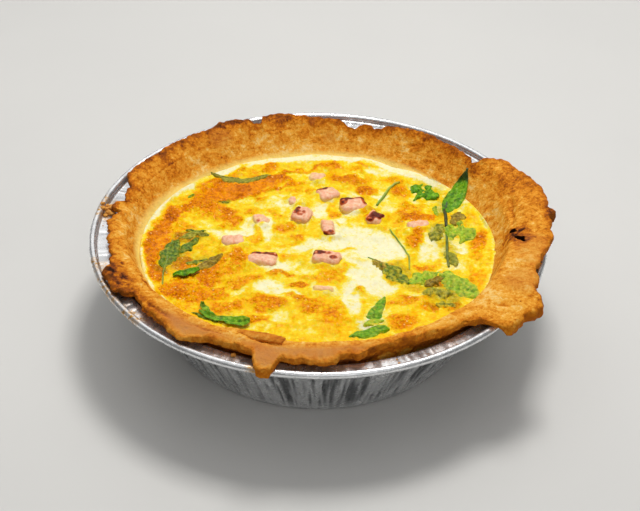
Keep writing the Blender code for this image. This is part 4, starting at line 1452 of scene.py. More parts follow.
@dataclass
class Custard:
    """The set custard: lumpy, blistered and browned in patches."""

    case: PastryCase
    steps: int = 300
    seed: int = 23
    level: float = 23.3
    meniscus: float = 0.7
    # Lengths across and along, phase and height of each swell.
    swells: Rows = ((31, 47, 0.4, 0.34), (-23, 29, 1.9, 0.26), (17, -21, 3.1, 0.17))
    foot_z: float = 4.4
    foot_inset: float = 0.8
    skirt: float = 3.0
    skirt_inset: float = 0.965
    hidden_mark: float = 0.3
    # Spacing and height of the larger and the smaller blisters.
    blister_sizes: Rows = ((2.4, 0.34), (1.5, 0.26))
    apart: float = 70.0
    # Centre and half width of the stretches whose pale edge is broader.
    behind: tuple[float, float] = (85.0, 75.0)
    beside: tuple[float, float] = (178.0, 62.0)
    base_baked: float = 0.33
    most_baked: float = 0.62
    most_herby: float = 0.85
    browned: tuple[Patch, ...] = patches(
        # The glazed area at the back left, and the browned ridges round it.
        (-25, 29, 11, 5, 36, 22), (-32.5, 31, 3.5, 5, 16, 10), (-17, 32, 9, 2.6, 22, 24),
        (-22.5, 25.3, 6, 1, 26, 22), (-14, 29, 5, 1, 34, 25), (-8, 32.5, 4, 0.8, 24, 30),
        (-12, 36, 5, 1.4, 34, 38), (-5, 40.3, 5, 1.2, 28, 20), (2, 43, 4, 1, 20, 10),
        (-33, 22, 6, 2.2, 26, 25), (-37.5, 19, 2.6, 3, 16), (-30, 17, 5, 4, 22),
        (-25.5, 15, 2.6, 4.5, 28, 20), (-20, 19, 3, 3, 10), (-26, 10.5, 2.5, 2, 14),
        # The deep orange band along the left, and the blistered area in front of it.
        (-44.5, 9, 2.2, 8, 44, -20), (-46.4, -3, 2.2, 6, 44, 3), (-44.6, -13, 2, 6, 36, 18),
        (-42, 3, 3, 7, 16, -10), (-41, 17, 2, 5, 30, -30), (-36, 4.5, 4, 2.5, 22), (-37, -8, 4, 3, 26),
        (-30, -14, 4, 4, 32), (-28.5, -8, 3, 3, 20), (-31, -18, 3, 2.5, 18), (-39.5, -22, 4, 3.5, 30, 30),
        (-33, -23, 4, 3, 24), (-27.5, -22, 3, 3, 18), (-36, -17, 3, 3, 14), (-24, -28, 4, 2.5, 16),
        (-35, -27, 3, 2, 12, 30), (-22, -17.5, 3, 2.5, 18), (-24, -11, 3, 3, 12), (-22, -5.5, 3, 2, 22),
        # The front.
        (-13, -25.5, 5.5, 2.6, 32, -15), (-5, -23.5, 4, 1.3, 28, -20), (-14, -28.5, 3, 1.5, 20),
        (-20.5, -25, 2.5, 1.6, 20), (-16, -32.2, 4, 1.2, 28), (-27, -30.5, 2, 2, 10),
        (-5.5, -17.5, 2.6, 1.2, 42, 5), (-10.5, -12.3, 3.5, 1.2, 28), (-17, -15.5, 3, 1.8, 18),
        (1.5, -27.5, 5.5, 4, 19), (3, -29, 2, 2, 14), (-2, -29.5, 2, 1.5, 14), (5, -33, 4, 2.5, 14),
        (3, -14, 4, 3, 16), (2, -9.8, 3, 1, 10), (23.5, -24.8, 3.8, 2.2, 28, 10),
        (11.5, -20.6, 1.8, 1.2, 28), (22.5, -33.2, 5, 2.8, 23, 10),
        # The right.
        (19, -12, 1.6, 4, 40, 10), (31, -8.6, 4, 1.3, 24), (11, -9, 2, 1.4, 14),
        (36, -26, 3, 2.5, 26, 30), (29.5, -27, 2.5, 2, 26), (32.5, -16.5, 2.4, 2, 50),
        (45.5, 3, 2.6, 5, 34, -8), (44, -4, 2.2, 2.2, 24), (44, -15, 2.2, 7, 14, 10),
        (27.5, 4, 2.5, 4, 32), (29, 14.5, 5, 2.2, 30), (23, 12.5, 2.2, 2.5, 12), (26, 19, 4, 3.5, 18),
        (24, 28.5, 3, 3, 28), (22.5, 34.5, 2.5, 2.5, 18), (36.5, 37, 3, 1.4, 16, -35),
        (38, 17, 2.5, 3, 12), (16, 14, 2.5, 3, 28, -30), (14, 18, 3, 1.5, 22, -20),
        # The back and the middle.
        (9.5, 34.5, 6, 2.4, 28, -8), (14.5, 29, 3.2, 2, 40, -25), (12.5, 40, 3, 2, 20),
        (4, 41.5, 3, 1.5, 18), (14, 43.5, 3, 1.2, 22, -10), (3.5, 36.5, 2.5, 3, 18),
        (-6.5, 29, 1.5, 3, 22), (-2.5, 29, 1.5, 3, 18), (-24, 40, 3, 1.8, 14, 20),
        (-15, 40, 3, 2.5, 22, 30), (-9, 34, 2, 1.5, 16), (-9.5, 9.5, 3, 2.8, 26), (-12.5, 16, 1.6, 4, 22),
        (4.5, 17, 2.5, 2.5, 22), (-17.5, 4, 3, 2, 20), (-6, 5, 2, 1.5, 16), (-9, 1.5, 3, 1.2, 14, 20),
        (7, -7, 2, 2, 12), (-16.5, 24, 2, 2, 12), (-10, 28, 2, 1.3, 14),
    )
    creamy: tuple[Patch, ...] = patches(
        (12, 5, 7, 6, 34), (18, 1, 6, 6, 30), (13, -5, 7, 4, 30), (13, -14, 6, 6, 32),
        (17, -19, 5, 3.5, 26), (9, -24, 2.2, 7, 28), (27, -21.5, 4, 1.4, 22), (16, -29, 3, 4, 20),
        (14, -34, 3.5, 3, 30), (22, -2, 2.5, 5, 20), (31, -1, 3, 5, 24), (33, 5, 2.5, 4, 20),
        (40, -7, 3, 3, 16), (35, -9, 3, 2, 14), (40, 2, 2.4, 4, 18), (-1, 1, 5, 3, 26),
        (-8, -1, 5, 2, 20), (5, 1, 3, 4, 20), (-12, -9.5, 4, 2, 24), (-3, -11, 4, 1.5, 14),
        (-8, -8, 3, 2, 14), (-13, -19, 4, 3, 26), (-21.5, -20.5, 3.5, 1.2, 22, 15),
        (-8, -21, 4, 1.1, 26, -10), (5, -20, 4, 1.6, 10), (-10, -32, 3, 2.5, 14),
        (-15, -35.5, 4, 1.5, 14), (-21, -31, 2, 1.5, 14), (-14, 9, 2.4, 6, 28), (-22, 7, 3, 3, 24),
        (-27.5, 6.5, 3.5, 2.4, 26), (-20, 12, 2, 4, 20), (-20.5, 21.5, 2.5, 3, 12), (-14, 22, 3, 3, 20),
        (-33, 10.5, 4, 2.2, 12), (-11, 20, 2, 4, 16), (0, 18, 2.5, 4, 24), (6, 11, 2.5, 5, 24),
        (-8, 26, 4, 2, 20), (10, 27.5, 4, 1.5, 18), (9, 16, 3, 2, 16), (20, 20, 2.5, 3, 10),
        (18, 26, 2.2, 4, 20, 30), (20, 39, 7, 2.2, 28, -12), (31, 38.5, 4, 2, 10, -25),
        (27, 27, 2, 5, 14), (34, 22, 3, 4, 10), (21, 11, 2, 3, 10), (-28, 39.5, 4, 2, 36, 25),
        (-18, 43.5, 5, 1.6, 28, 12), (-6, 45, 6, 1.5, 20, 5), (6, 46, 7, 1.2, 20),
        (21, 43.5, 7, 1.5, 22, -20), (-45.5, 18, 1.4, 5, 14, -25), (-39.5, 27, 1.8, 4, 20, -30),
        (-20, 32.5, 4, 1.4, 10, 15),
    )
    # Where the top is a smooth, shiny sheet with few blisters.
    glazed: tuple[Patch, ...] = patches(
        (-25, 28.5, 9, 4.4, 100, 22), (-16, 31, 7, 2.6, 80, 24), (-44.5, 4, 1.8, 9, 70, -6),
    )
    herby: tuple[Patch, ...] = patches(
        (-36.5, 4.5, 5, 2.6, 60), (-40, -5, 3, 6, 50, 5), (-34, -6, 4, 2, 45, 20),
        (-43.5, -11.5, 2.2, 1.8, 55), (-27.5, 22.3, 1.8, 0.9, 70, 10), (-37.5, 24.3, 1.2, 0.8, 40),
        (22, -12, 3.5, 4.5, 45, -20), (26.5, -17, 3, 3, 35), (33, -20.5, 4.5, 3.5, 55, -20),
        (36.5, -25, 3, 3, 40), (31, -26, 2, 2, 35), (38, -20, 3, 3, 30), (35.5, 20, 1.6, 5, 50, -5),
        (34, 7, 2.5, 5, 40), (37, 0, 2, 6, 40), (33, 31, 4, 5, 20), (15.5, 18, 2.5, 1, 35, -20),
        (14, -34.5, 4, 3, 25), (19.5, -9, 2, 2, 30), (39, 12, 4, 5, 20),
    )

    def swell(self, x: Array, y: Array, share: Array) -> Array:
        """Height of the surface in broad strokes, as the solid has it.

        Args:
            x: across.
            y: along.
            share: how far out it is, as a share of the way to the edge.

        Returns:
            The heights.
        """
        height = self.level + self.meniscus * ease((share - 0.86) / 0.14)
        for wave_x, wave_y, phase, size in self.swells:
            height = height + size * np.sin(2 * np.pi * (x / wave_x + y / wave_y) + phase)
        return height

    def climb(self, x: Array, y: Array) -> Array:
        """How far the custard climbs the ham.

        Args:
            x: across.
            y: along.

        Returns:
            0 to 1 for each place.
        """
        near = np.zeros_like(x)
        for name in HAM_NODES:
            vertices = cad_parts[name].data.vertices
            corners = np.array([tuple(vertex.co)[:2] for vertex in vertices]) / MM
            centre = corners.mean(axis=0)
            axes = np.linalg.svd(corners - centre)[2]
            half = np.abs((corners - centre) @ axes.T).max(axis=0)
            place = (np.column_stack([x, y]) - centre) @ axes.T
            gap = np.linalg.norm(np.maximum(np.abs(place) - half, 0.0), axis=1)
            near = np.maximum(near, np.exp(-((gap / 0.8) ** 2)))
        return near

    def blisters(self, x: Array, y: Array, baked: Array) -> tuple[Array, Array]:
        """Small round blisters, which crowd where the custard browned.

        Args:
            x: across.
            y: along.
            baked: how baked it is there.

        Returns:
            Their height, and how far up a blister each place is.
        """
        height, top = np.zeros_like(x), np.zeros_like(x)
        grain = Grain(self.seed + 3)
        for size, rise in self.blister_sizes:
            near, draw = grain.cells(x + self.apart * size, y, size)
            reach = 0.24 + 0.22 * draw
            there = ease((baked + 0.35 * draw - 0.5) / 0.2)
            dome = np.sqrt(np.clip(1.0 - (near / reach) ** 2, 0.0, 1.0)) * there
            height += rise * dome * (0.4 + 0.6 * draw)
            top = np.maximum(top, dome)
        return height, top

    def build(self) -> Piece:
        """Make the custard.

        Returns:
            The dressed custard, which replaces its solid.
        """
        line = np.linspace(-1.0, 1.0, self.steps)
        u, v = np.meshgrid(line, line)
        disc_x, disc_y = (u * np.sqrt(1 - v * v / 2)).ravel(), (v * np.sqrt(1 - u * u / 2)).ravel()
        angle = np.degrees(np.arctan2(disc_y, disc_x))
        share = np.hypot(disc_x, disc_y)
        reach = self.case.filling_edge(angle) + 0.9
        x, y = disc_x * reach, disc_y * reach
        height, marks = self.surface(x, y, share)
        points = np.stack([x, y, height], axis=1)
        number = np.arange(self.steps**2).reshape(self.steps, self.steps)
        faces = grid_faces(number)
        rim = grid_rim(number)
        skirt, foot = (
            points[rim] * np.array([inset, inset, 0.0]) + np.array([0.0, 0.0, z])
            for inset, z in ((self.skirt_inset, self.level - self.skirt), (self.foot_inset, self.foot_z))
        )
        count = len(rim)
        first = len(points)
        points = np.concatenate([points, skirt, foot, [[0.0, 0.0, self.foot_z]]])
        for step in range(count):
            after = (step + 1) % count
            faces.append((int(rim[after]), int(rim[step]), first + step, first + after))
            faces.append((first + after, first + step, first + count + step, first + count + after))
            faces.append((first + count + after, first + count + step, first + 2 * count))
        hidden = np.full(2 * count + 1, self.hidden_mark)
        marks = {name: np.concatenate([values, hidden]) for name, values in marks.items()}
        custard = Surface(points, faces, marks).make("custard_top", CustardFinish().material())
        return dress(custard, ["custard"])

    def surface(self, x: Array, y: Array, share: Array) -> tuple[Array, dict[str, Array]]:
        """Height of the custard, and how baked, how herby and how glazed it is.

        Args:
            x: across.
            y: along.
            share: how far out it is, as a share of the way to the edge.

        Returns:
            The heights, and the marks.
        """
        grain = Grain(self.seed)
        flat = np.stack([x, y, np.zeros_like(x)], axis=1)
        warp_x = x + 1.3 * grain.rough(flat + 10.0, 5.0, 3, 0.6)
        warp_y = y + 1.3 * grain.rough(flat + 60.0, 5.0, 3, 0.6)
        baked = self.base_baked + 0.09 * ease((-x - 10.0) / 30.0)
        for patch in self.browned:
            baked = baked + patch.over(warp_x, warp_y)
        for patch in self.creamy:
            baked = baked - patch.over(warp_x, warp_y)
        herby = sum(patch.over(warp_x, warp_y) for patch in self.herby)
        glazed = sum(patch.over(warp_x, warp_y) for patch in self.glazed)
        lumps = grain.wave(np.stack([warp_x, warp_y, 0 * x + 8.0], axis=1), 3.6)
        fine = grain.rough(flat + 400.0, 1.7, 2)
        broad = grain.rough(flat + 500.0, 8.0, 2)
        baked = baked + 0.12 * lumps + 0.09 * fine + 0.1 * broad
        turn = np.degrees(np.arctan2(y, x))
        behind = hump(turn, *self.behind)
        beside = hump(turn, *self.beside)
        edge = ease((share - 0.965 + 0.04 * behind) / 0.03)
        baked = baked - edge * (0.13 + 0.19 * behind + 0.23 * beside)
        height = self.swell(x, y, share) + 0.5 * beside * ease((share - 0.96) / 0.03)
        near = self.climb(x, y)
        baked = baked - 0.14 * near * (0.7 + lumps)
        rise, dome = self.blisters(x, y, baked - 0.2 * glazed)
        relief = 0.36 * broad + 0.4 * lumps + 0.2 * fine + 0.34 * (baked - 0.4)
        height = height + (relief - 0.1) * (1.0 - 0.6 * edge) + rise + 0.7 * near * (0.8 + 0.9 * lumps)
        # Painted highlight: the tops of the blisters are lighter.
        baked = baked - 0.1 * dome
        baked = np.minimum(baked, self.most_baked + 0.35 * (baked - self.most_baked))
        tucked = self.case.slope_z(np.hypot(x, y)) - 0.4
        height = height + (tucked - height) * ease((share - 0.988) / 0.012)
        herby = self.most_herby * np.minimum(herby / self.most_herby, 1.0)
        marks = {"baked": baked, "herby": herby, "glazed": glazed}
        return height, {name: np.clip(values, 0.0, 1.0) for name, values in marks.items()}


# ---- ham ----
@dataclass
class HamDice:
    """The diced ham, seared where it stands out of the custard."""

    voxel: float = 0.28
    wear: int = 7
    seed: int = 41
    swollen: float = 0.1
    lump: float = 3.2
    lump_height: float = 0.6
    most_coated: float = 0.7
    most_seared: float = 1.2
    level: float = 23.6
    seared: tuple[Patch, ...] = patches(
        (7.4, 21.4, 1.2, 2, 130, -10), (10.5, 23, 3.6, 1, 140, 12), (13.3, 21.6, 0.8, 2.2, 120, 12),
        (14.4, 12.6, 2, 1.4, 80), (17, 14.4, 2.6, 1.8, 130, 40), (18, 16.4, 1.4, 2, 100),
        (1.4, 4.6, 1.2, 1.1, 100), (3.6, 4.8, 1.2, 1, 90), (0.6, 28.2, 2, 1.2, 140, 20),
        (2.4, 28.8, 1.4, 0.8, 90, 20), (-17.4, 12, 0.8, 1.3, 80), (-6.6, 16.4, 1.3, 1.6, 120),
        (-5.4, 14, 1.8, 1.3, 90), (-18, -4.8, 1.8, 0.9, 120, -6), (-15, -4.9, 1.8, 0.8, 110, -6),
        (-12.6, -5.4, 1.6, 0.9, 120, -6), (-0.2, -4.4, 2, 1.1, 140, -14), (4.4, -7, 1.2, 0.9, 100),
        (2.6, -5, 1.4, 0.7, 90, -14),
    )

    def fine_copy(self, node: str) -> Surface:
        """A finely divided copy of a dice's solid.

        Args:
            node: the solid's name.

        Returns:
            Its surface in millimetres.
        """
        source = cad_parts[node]
        copy = source.copy()
        copy.data = source.data.copy()
        bpy.context.scene.collection.objects.link(copy)
        remesh = copy.modifiers.new("fine", "REMESH")
        remesh.mode = "VOXEL"
        remesh.voxel_size = self.voxel * MM
        graph = bpy.context.evaluated_depsgraph_get()
        mesh = bpy.data.meshes.new_from_object(copy.evaluated_get(graph))
        points = np.empty(len(mesh.vertices) * 3)
        mesh.vertices.foreach_get("co", points)
        faces = [tuple(face.vertices) for face in mesh.polygons]
        bpy.data.objects.remove(copy)
        bpy.data.meshes.remove(mesh)
        return Surface(points.reshape(-1, 3) / MM, faces)

    def rounded(self, surface: Surface) -> Array:
        """Wear every edge of a dice round.

        Args:
            surface: the dice.

        Returns:
            Its points, moved towards their neighbours.
        """
        points = surface.points.copy()
        pairs = np.array(
            [(face[side - 1], face[side]) for face in surface.faces for side in range(len(face))]
        )
        count = np.bincount(pairs.ravel(), minlength=len(points))[:, None]
        for _ in range(self.wear):
            total = np.zeros_like(points)
            np.add.at(total, pairs[:, 0], points[pairs[:, 1]])
            np.add.at(total, pairs[:, 1], points[pairs[:, 0]])
            points = 0.4 * points + 0.6 * total / count
        return points

    def build(self) -> Piece:
        """Make all the ham as one piece.

        Returns:
            The dressed ham, which replaces its solids.
        """
        grain = Grain(self.seed)
        done = []
        for node in HAM_NODES:
            surface = self.fine_copy(node)
            points = self.rounded(surface)
            middle = points.mean(axis=0)
            out = points - middle
            out = out / np.linalg.norm(out, axis=1)[:, None]
            lumps = self.lump_height * grain.wave(points, self.lump) + 0.26 * grain.wave(points + 20.0, 1.3)
            points = points + out * (lumps + self.swollen)[:, None]
            seared = sum(patch.over(points[:, 0], points[:, 1]) for patch in self.seared)
            seared = seared * ease((points[:, 2] - self.level - 0.1) / 0.7)
            seared = seared * (0.75 + 0.9 * grain.wave(points + 60.0, 1.0))
            coated = ease(0.7 - (points[:, 2] - self.level) / 0.9)
            coated = np.clip(coated + 0.35 * grain.wave(points + 90.0, 2.2), 0.0, self.most_coated)
            surface.points = points
            surface.marks = {"seared": np.clip(seared, 0.0, self.most_seared), "coated": coated}
            done.append(surface)
        ham = join(done).make("ham", HamFinish().material())
        return dress(ham, HAM_NODES)


# ---- leaves ----
class Ground:
    """What the leaves, stems and crumbs lie on."""

    SKY = 0.1

    def __init__(self, objects: list[Piece]) -> None:
        """Index the surfaces.

        Args:
            objects: the pieces that count as ground.
        """
        self.trees = []
        for obj in objects:
            shape = bmesh.new()
            shape.from_mesh(obj.data)
            self.trees.append(BVHTree.FromBMesh(shape))
            shape.free()

    def height(self, x: float, y: float) -> float:
        """The highest surface at a place.

        Args:
            x: across.
            y: along.

        Returns:
            Its height.
        """
        start = Vector((x * MM, y * MM, self.SKY))
        hits = [tree.ray_cast(start, Vector((0.0, 0.0, -1.0)))[0] for tree in self.trees]
        return max(hit.z for hit in hits if hit is not None) / MM

    def heights(self, places: Array) -> Array:
        """The highest surface at each place."""
        return np.array([self.height(x, y) for x, y in places])


@dataclass(frozen=True)
class Leaf:
    """One leaf or shred: its line, its width, how it lies and its state."""

    base: tuple[float, float]
    middle: tuple[float, float]
    tip: tuple[float, float]
    width: float
    cup: float
    tip_lift: float
    state: LeafState
    crumple: float = 0.3
    lobes: float = 0.15
    film: float = 0.2
    dry: float = 0.0
    blunt: float = 0.0

    def spine(self, share: Array) -> Array:
        """The curve from base to tip that passes through the middle.

        Args:
            share: shares of the way along it.

        Returns:
            A point for each share.
        """
        base, middle, tip = np.array(self.base), np.array(self.middle), np.array(self.tip)
        bend = 2 * middle - (base + tip) / 2
        share = share[:, None]
        return (1 - share) ** 2 * base + 2 * share * (1 - share) * bend + share**2 * tip

    def half_widths(self, share: Array, grain: Grain) -> Array:
        """Half the leaf's width on its two sides.

        Args:
            share: shares of the leaf's length.
            grain: the noise that frills its edge.

        Returns:
            Shares by 2.
        """
        outline = np.sin(np.pi * np.clip(share * 0.94 + 0.03, 0, 1)) ** 0.75
        square = np.minimum(1.0, 8.0 * (1.02 - share)) ** 0.5
        outline = outline + (square - outline) * self.blunt * ease(share * 2)
        outline = outline * (1.0 - 0.6 * self.blunt * (1.0 - share))
        sides = []
        for side in (-1.0, 1.0):
            route = np.stack([share * 7.0, 0 * share + 5.0 * side, 0 * share + self.base[0]], axis=1)
            frill = 2.0 * grain.wave(route, 1.7) + 1.1 * grain.wave(route, 0.8)
            sides.append(outline * np.maximum(0.3, 1.0 + self.lobes * frill))
        return self.width / 2 * (0.05 + 0.95 * np.stack(sides, axis=1))


LEAVES: dict[str, Leaf] = {
    "back_left": Leaf((-14.5, 35.6), (-24, 33.4), (-32.4, 37), 2.8, -0.3, 0.2, OLIVE, 0.2, 0.1, 0.3, 0.35),
    "left_long": Leaf((-43.2, -10.5), (-41.4, -4.5), (-39.6, 2.4), 4.6, -0.3, 0.1, DARK, 0.4, 0.25, 0.25),
    "left_inner": Leaf((-38.4, -3.4), (-36.2, 0.4), (-33.8, 3.8), 3, -0.3, 0.1, DARK, 0.4, 0.3, 0.25),
    "left_brown": Leaf((-33.8, -11.4), (-30.4, -8.4), (-26.6, -5), 4.4, -0.3, 0.1, BROWNED, 0.5, 0.3, 0.3),
    "left_curl": Leaf((-39.6, -14.6), (-36, -13.8), (-32.4, -12.4), 3.6, 0.8, 0.2, FRESH, 0.35, 0.2, 0.1),
    "front_left": Leaf(
        (-31.4, -30.6), (-25.5, -33.8), (-17.6, -34.6), 3.8, 0.4, 0.6, FRESH, 0.4, 0.2, 0.1, 0, 0.7
    ),
    "right_back": Leaf((27.6, 32), (31, 29.2), (35, 25.6), 8, -0.5, 0.3, FRESH, 1.2, 0.45, 0),
    "right_tall": Leaf((36.6, 19.4), (39.8, 24.6), (43.4, 31.8), 6, -0.4, 0.9, FRESH, 0.3, 0.08, 0.05, 0.9),
    "right_ruffled": Leaf((35.6, 9.4), (40, 8.6), (44.4, 5.8), 10, -0.5, 0.1, PALE, 0.8, 0.35, 0.3),
    "right_small": Leaf((35.8, -1), (37.2, -4.6), (38.2, -9), 3.4, -0.3, 0.1, OLIVE, 0.5, 0.3, 0.3),
    "front_right_dark": Leaf((17.4, -8), (20.8, -12), (25.4, -16.6), 5.6, -0.4, 0, DARK, 0.6, 0.4, 0.6),
    "front_right_pale": Leaf((25, -16.6), (28.4, -13.4), (33.6, -11.6), 5.6, -0.5, 0, PALE, 0.7, 0.35, 0.35),
    "front_right_long": Leaf((33.6, -12.2), (38, -16.6), (43.2, -22.8), 7.4, -0.4, 0, PALE, 0.5, 0.2, 0.35),
    "front_tall": Leaf(
        (18.2, -22.6), (16.2, -27.4), (14.4, -31.8), 5.2, -0.2, -0.1, FRESH, 0.4, 0.1, 0.25, 0, 1
    ),
    "front_low": Leaf((8.4, -40.4), (13.4, -38), (19, -36.4), 4.6, -0.2, 0.2, FRESH, 0.4, 0.15, 0.15),
}
SHREDS: tuple[Leaf, ...] = (
    Leaf((-28, -31.4), (-30.2, -28.6), (-30.6, -26), 1.9, 0.3, 0.3, FRESH, 0.3, 0.3, 0.2),
    Leaf((-33.4, -30.6), (-30, -33), (-26, -34.2), 1.3, -0.2, 0, DARK, 0.3, 0.3, 0.1),
    Leaf((-39.4, 3), (-35.4, 5.2), (-31, 5), 2.6, -0.2, 0, OLIVE, 0.4, 0.4, 0.5),
    Leaf((-37.8, 7.2), (-35, 6.6), (-32, 7.2), 1.4, -0.2, 0, DARK, 0.3, 0.4, 0.4),
    Leaf((-41.6, -12.6), (-42.8, -8), (-42.6, -2), 2, -0.2, 0, BROWNED, 0.4, 0.4, 0.3),
    Leaf((-36.6, -8.2), (-33.6, -7.4), (-30.4, -6), 1.8, -0.2, 0, DARK, 0.4, 0.4, 0.5),
    Leaf((-29.2, 22), (-27.8, 22.3), (-26.4, 22.8), 0.9, -0.2, 0, DARK, 0.2, 0.3, 0.3),
    Leaf((-38.4, 23.4), (-37.6, 24.3), (-36.6, 25.6), 0.9, -0.2, 0, PALE, 0.2, 0.3, 0.4),
    Leaf((32.4, 2.6), (33.8, 7), (35.6, 11.4), 4.2, -0.3, 0, OLIVE, 0.6, 0.4, 0.55),
    Leaf((38, 12.4), (40, 15), (41, 19), 4.6, -0.4, 0, BROWNED, 0.6, 0.35, 0.3),
    Leaf((34.4, 21.6), (34, 19), (34.4, 16), 1.8, -0.3, 0, PALE, 0.4, 0.3, 0.4),
    Leaf((29.4, -17.8), (31.8, -15.6), (34.6, -15), 4.2, -0.7, 0, BROWNED, 0.8, 0.35, 0.2),
    Leaf((28.6, -22), (32, -20.4), (36.6, -20.6), 4.2, -0.3, 0, OLIVE, 0.6, 0.4, 0.75),
    Leaf((31.6, -26.8), (34.2, -25.4), (37.4, -25.8), 3, -0.3, 0, OLIVE, 0.6, 0.4, 0.8),
    Leaf((12.2, -34.6), (14.8, -33.4), (17.6, -33.4), 3.4, -0.2, 0, PALE, 0.4, 0.4, 0.95),
    Leaf((15.2, -6.2), (17, -8.4), (18.6, -11.4), 3, -0.2, 0, BROWNED, 0.4, 0.4, 0.6),
    Leaf((26.8, -13.8), (27.8, -12.6), (29.2, -12.2), 2.4, -0.6, 0, FRESH, 0.5, 0.3, 0.1),
)


@dataclass
class Leaves:
    """The spinach leaves, laid over the filling and the slope and partly sunk in it."""

    along: int = 40
    across: int = 21
    thickness: float = 0.12
    bed: float = 0.12
    sunk: float = 0.36
    ribs: float = 7.0
    hang: float = 0.4
    seed: int = 5

    def blade(self, leaf: Leaf, ground: Ground, grain: Grain) -> Surface:
        """One leaf as a thin closed body.

        Args:
            leaf: what to make.
            ground: what it lies on.
            grain: the noise that crumples it.

        Returns:
            The leaf, with its vein, fold shade, film and dry marks.
        """
        share = np.linspace(0.0, 1.0, self.along)
        side = np.linspace(-1.0, 1.0, self.across)
        centre = leaf.spine(share)
        ahead = np.gradient(centre, axis=0)
        ahead /= np.linalg.norm(ahead, axis=1)[:, None]
        across = np.stack([-ahead[:, 1], ahead[:, 0]], axis=1)
        halves = leaf.half_widths(share, grain)
        half = np.where(side[None, :] < 0.0, halves[:, :1], halves[:, 1:])
        places = centre[:, None] + across[:, None] * (half * side[None, :])[..., None]
        flat = places.reshape(-1, 2)
        rest = self.relax(ground.heights(flat).reshape(places.shape[:2]), 3)
        spine = rest[:, self.across // 2][:, None]
        rest = np.maximum(rest, spine - self.hang)
        spots = np.concatenate([flat, np.full((len(flat), 1), leaf.width)], axis=1)
        ridges = 1.2 - 2.2 * np.abs(grain.wave(spots, 3.4)) - 1.8 * np.abs(grain.wave(spots + 9.0, 1.7))
        ridges = ridges.reshape(rest.shape)
        out = np.abs(side)[None, :] * np.ones_like(share)[:, None]
        ends = ease(np.minimum(share, 1.0 - share) / 0.1)[:, None]
        if leaf.cup > 0:
            rise = leaf.cup * out**1.5
        else:
            rise = -0.35 * leaf.cup * (1.0 - out**2.2) - self.sunk * ease((out - 0.72) / 0.28)
            rise = rise - 0.2 * (1 - ends)
        low = rest + self.bed + rise + leaf.tip_lift * share[:, None] ** 2
        low = low + leaf.crumple * 0.6 * (ridges - 0.2) * (1.0 - 0.4 * out**3)
        bottom = np.concatenate([places, low[..., None]], axis=2).reshape(-1, 3)
        top = bottom + np.array([0.0, 0.0, self.thickness])
        number = np.arange(self.along * self.across).reshape(self.along, self.across)
        faces = grid_faces(number, turned=True)
        over = len(bottom)
        faces += [tuple(over + corner for corner in reversed(face)) for face in faces]
        rim = grid_rim(number)
        for here, after in zip(rim.tolist(), np.roll(rim, -1).tolist()):
            faces.append((here, after, over + after, over + here))
        mid = np.exp(-((side / 0.1) ** 2))[None, :] * (1.0 - 0.6 * share[:, None])
        ribs = np.exp(-((np.sin(np.pi * (share[:, None] * self.ribs - 1.6 * out)) / 0.28) ** 2))
        vein = np.clip(mid + 0.4 * ribs * (1.0 - out), 0.0, 1.0) * (1.0 - 0.6 * min(1.0, leaf.crumple))
        # Painted shade in the crumple's valleys.
        folded = ease((0.15 - ridges) / 1.1) * min(1.0, 0.45 + leaf.crumple)
        film = leaf.film * (0.5 + 0.7 * out + 0.5 * grain.wave(spots + 40.0, 2.4).reshape(rest.shape))
        film = film + 0.5 * ease((out - 0.78) / 0.22) * min(1.0, 2.0 * leaf.film)
        dry = leaf.dry * ease((share[:, None] - 0.8) / 0.1) * np.ones_like(side)[None, :]
        folded, film = np.clip(folded, 0.0, 0.9), np.clip(film, 0.0, 1.0)
        marks = {"vein": vein, "folded": folded, "film": film, "dry": dry}
        doubled = {name: np.tile(values.ravel(), 2) for name, values in marks.items()}
        return Surface(np.concatenate([bottom, top]), faces, doubled)

    @staticmethod
    def relax(heights: Array, passes: int) -> Array:
        """Smooth a leaf's heights, so that it bridges the dips under it.

        Args:
            heights: rows by columns.
            passes: how often each height moves towards the four beside it.

        Returns:
            The smoother heights.
        """
        for _ in range(passes):
            padded = np.pad(heights, 1, mode="edge")
            around = padded[:-2, 1:-1] + padded[2:, 1:-1] + padded[1:-1, :-2] + padded[1:-1, 2:]
            heights = 0.5 * heights + 0.125 * around
        return heights

    def build(self, ground: Ground) -> None:
        """Make the leaves, each in place of its solid, and the loose shreds.

        Args:
            ground: what they lie on.
        """
        finishes = {finish.state: finish.material() for finish in LEAF_FINISHES}
        grain = Grain(self.seed)
        for name, leaf in LEAVES.items():
            obj = self.blade(leaf, ground, grain).make(f"leaf_{name}_blade", finishes[leaf.state])
            dress(obj, [f"leaf_{name}"])
        for state, finish in finishes.items():
            same = [self.blade(shred, ground, grain) for shred in SHREDS if shred.state is state]
            if same:
                dress(join(same).make(f"shreds_{state.value}", finish), [])


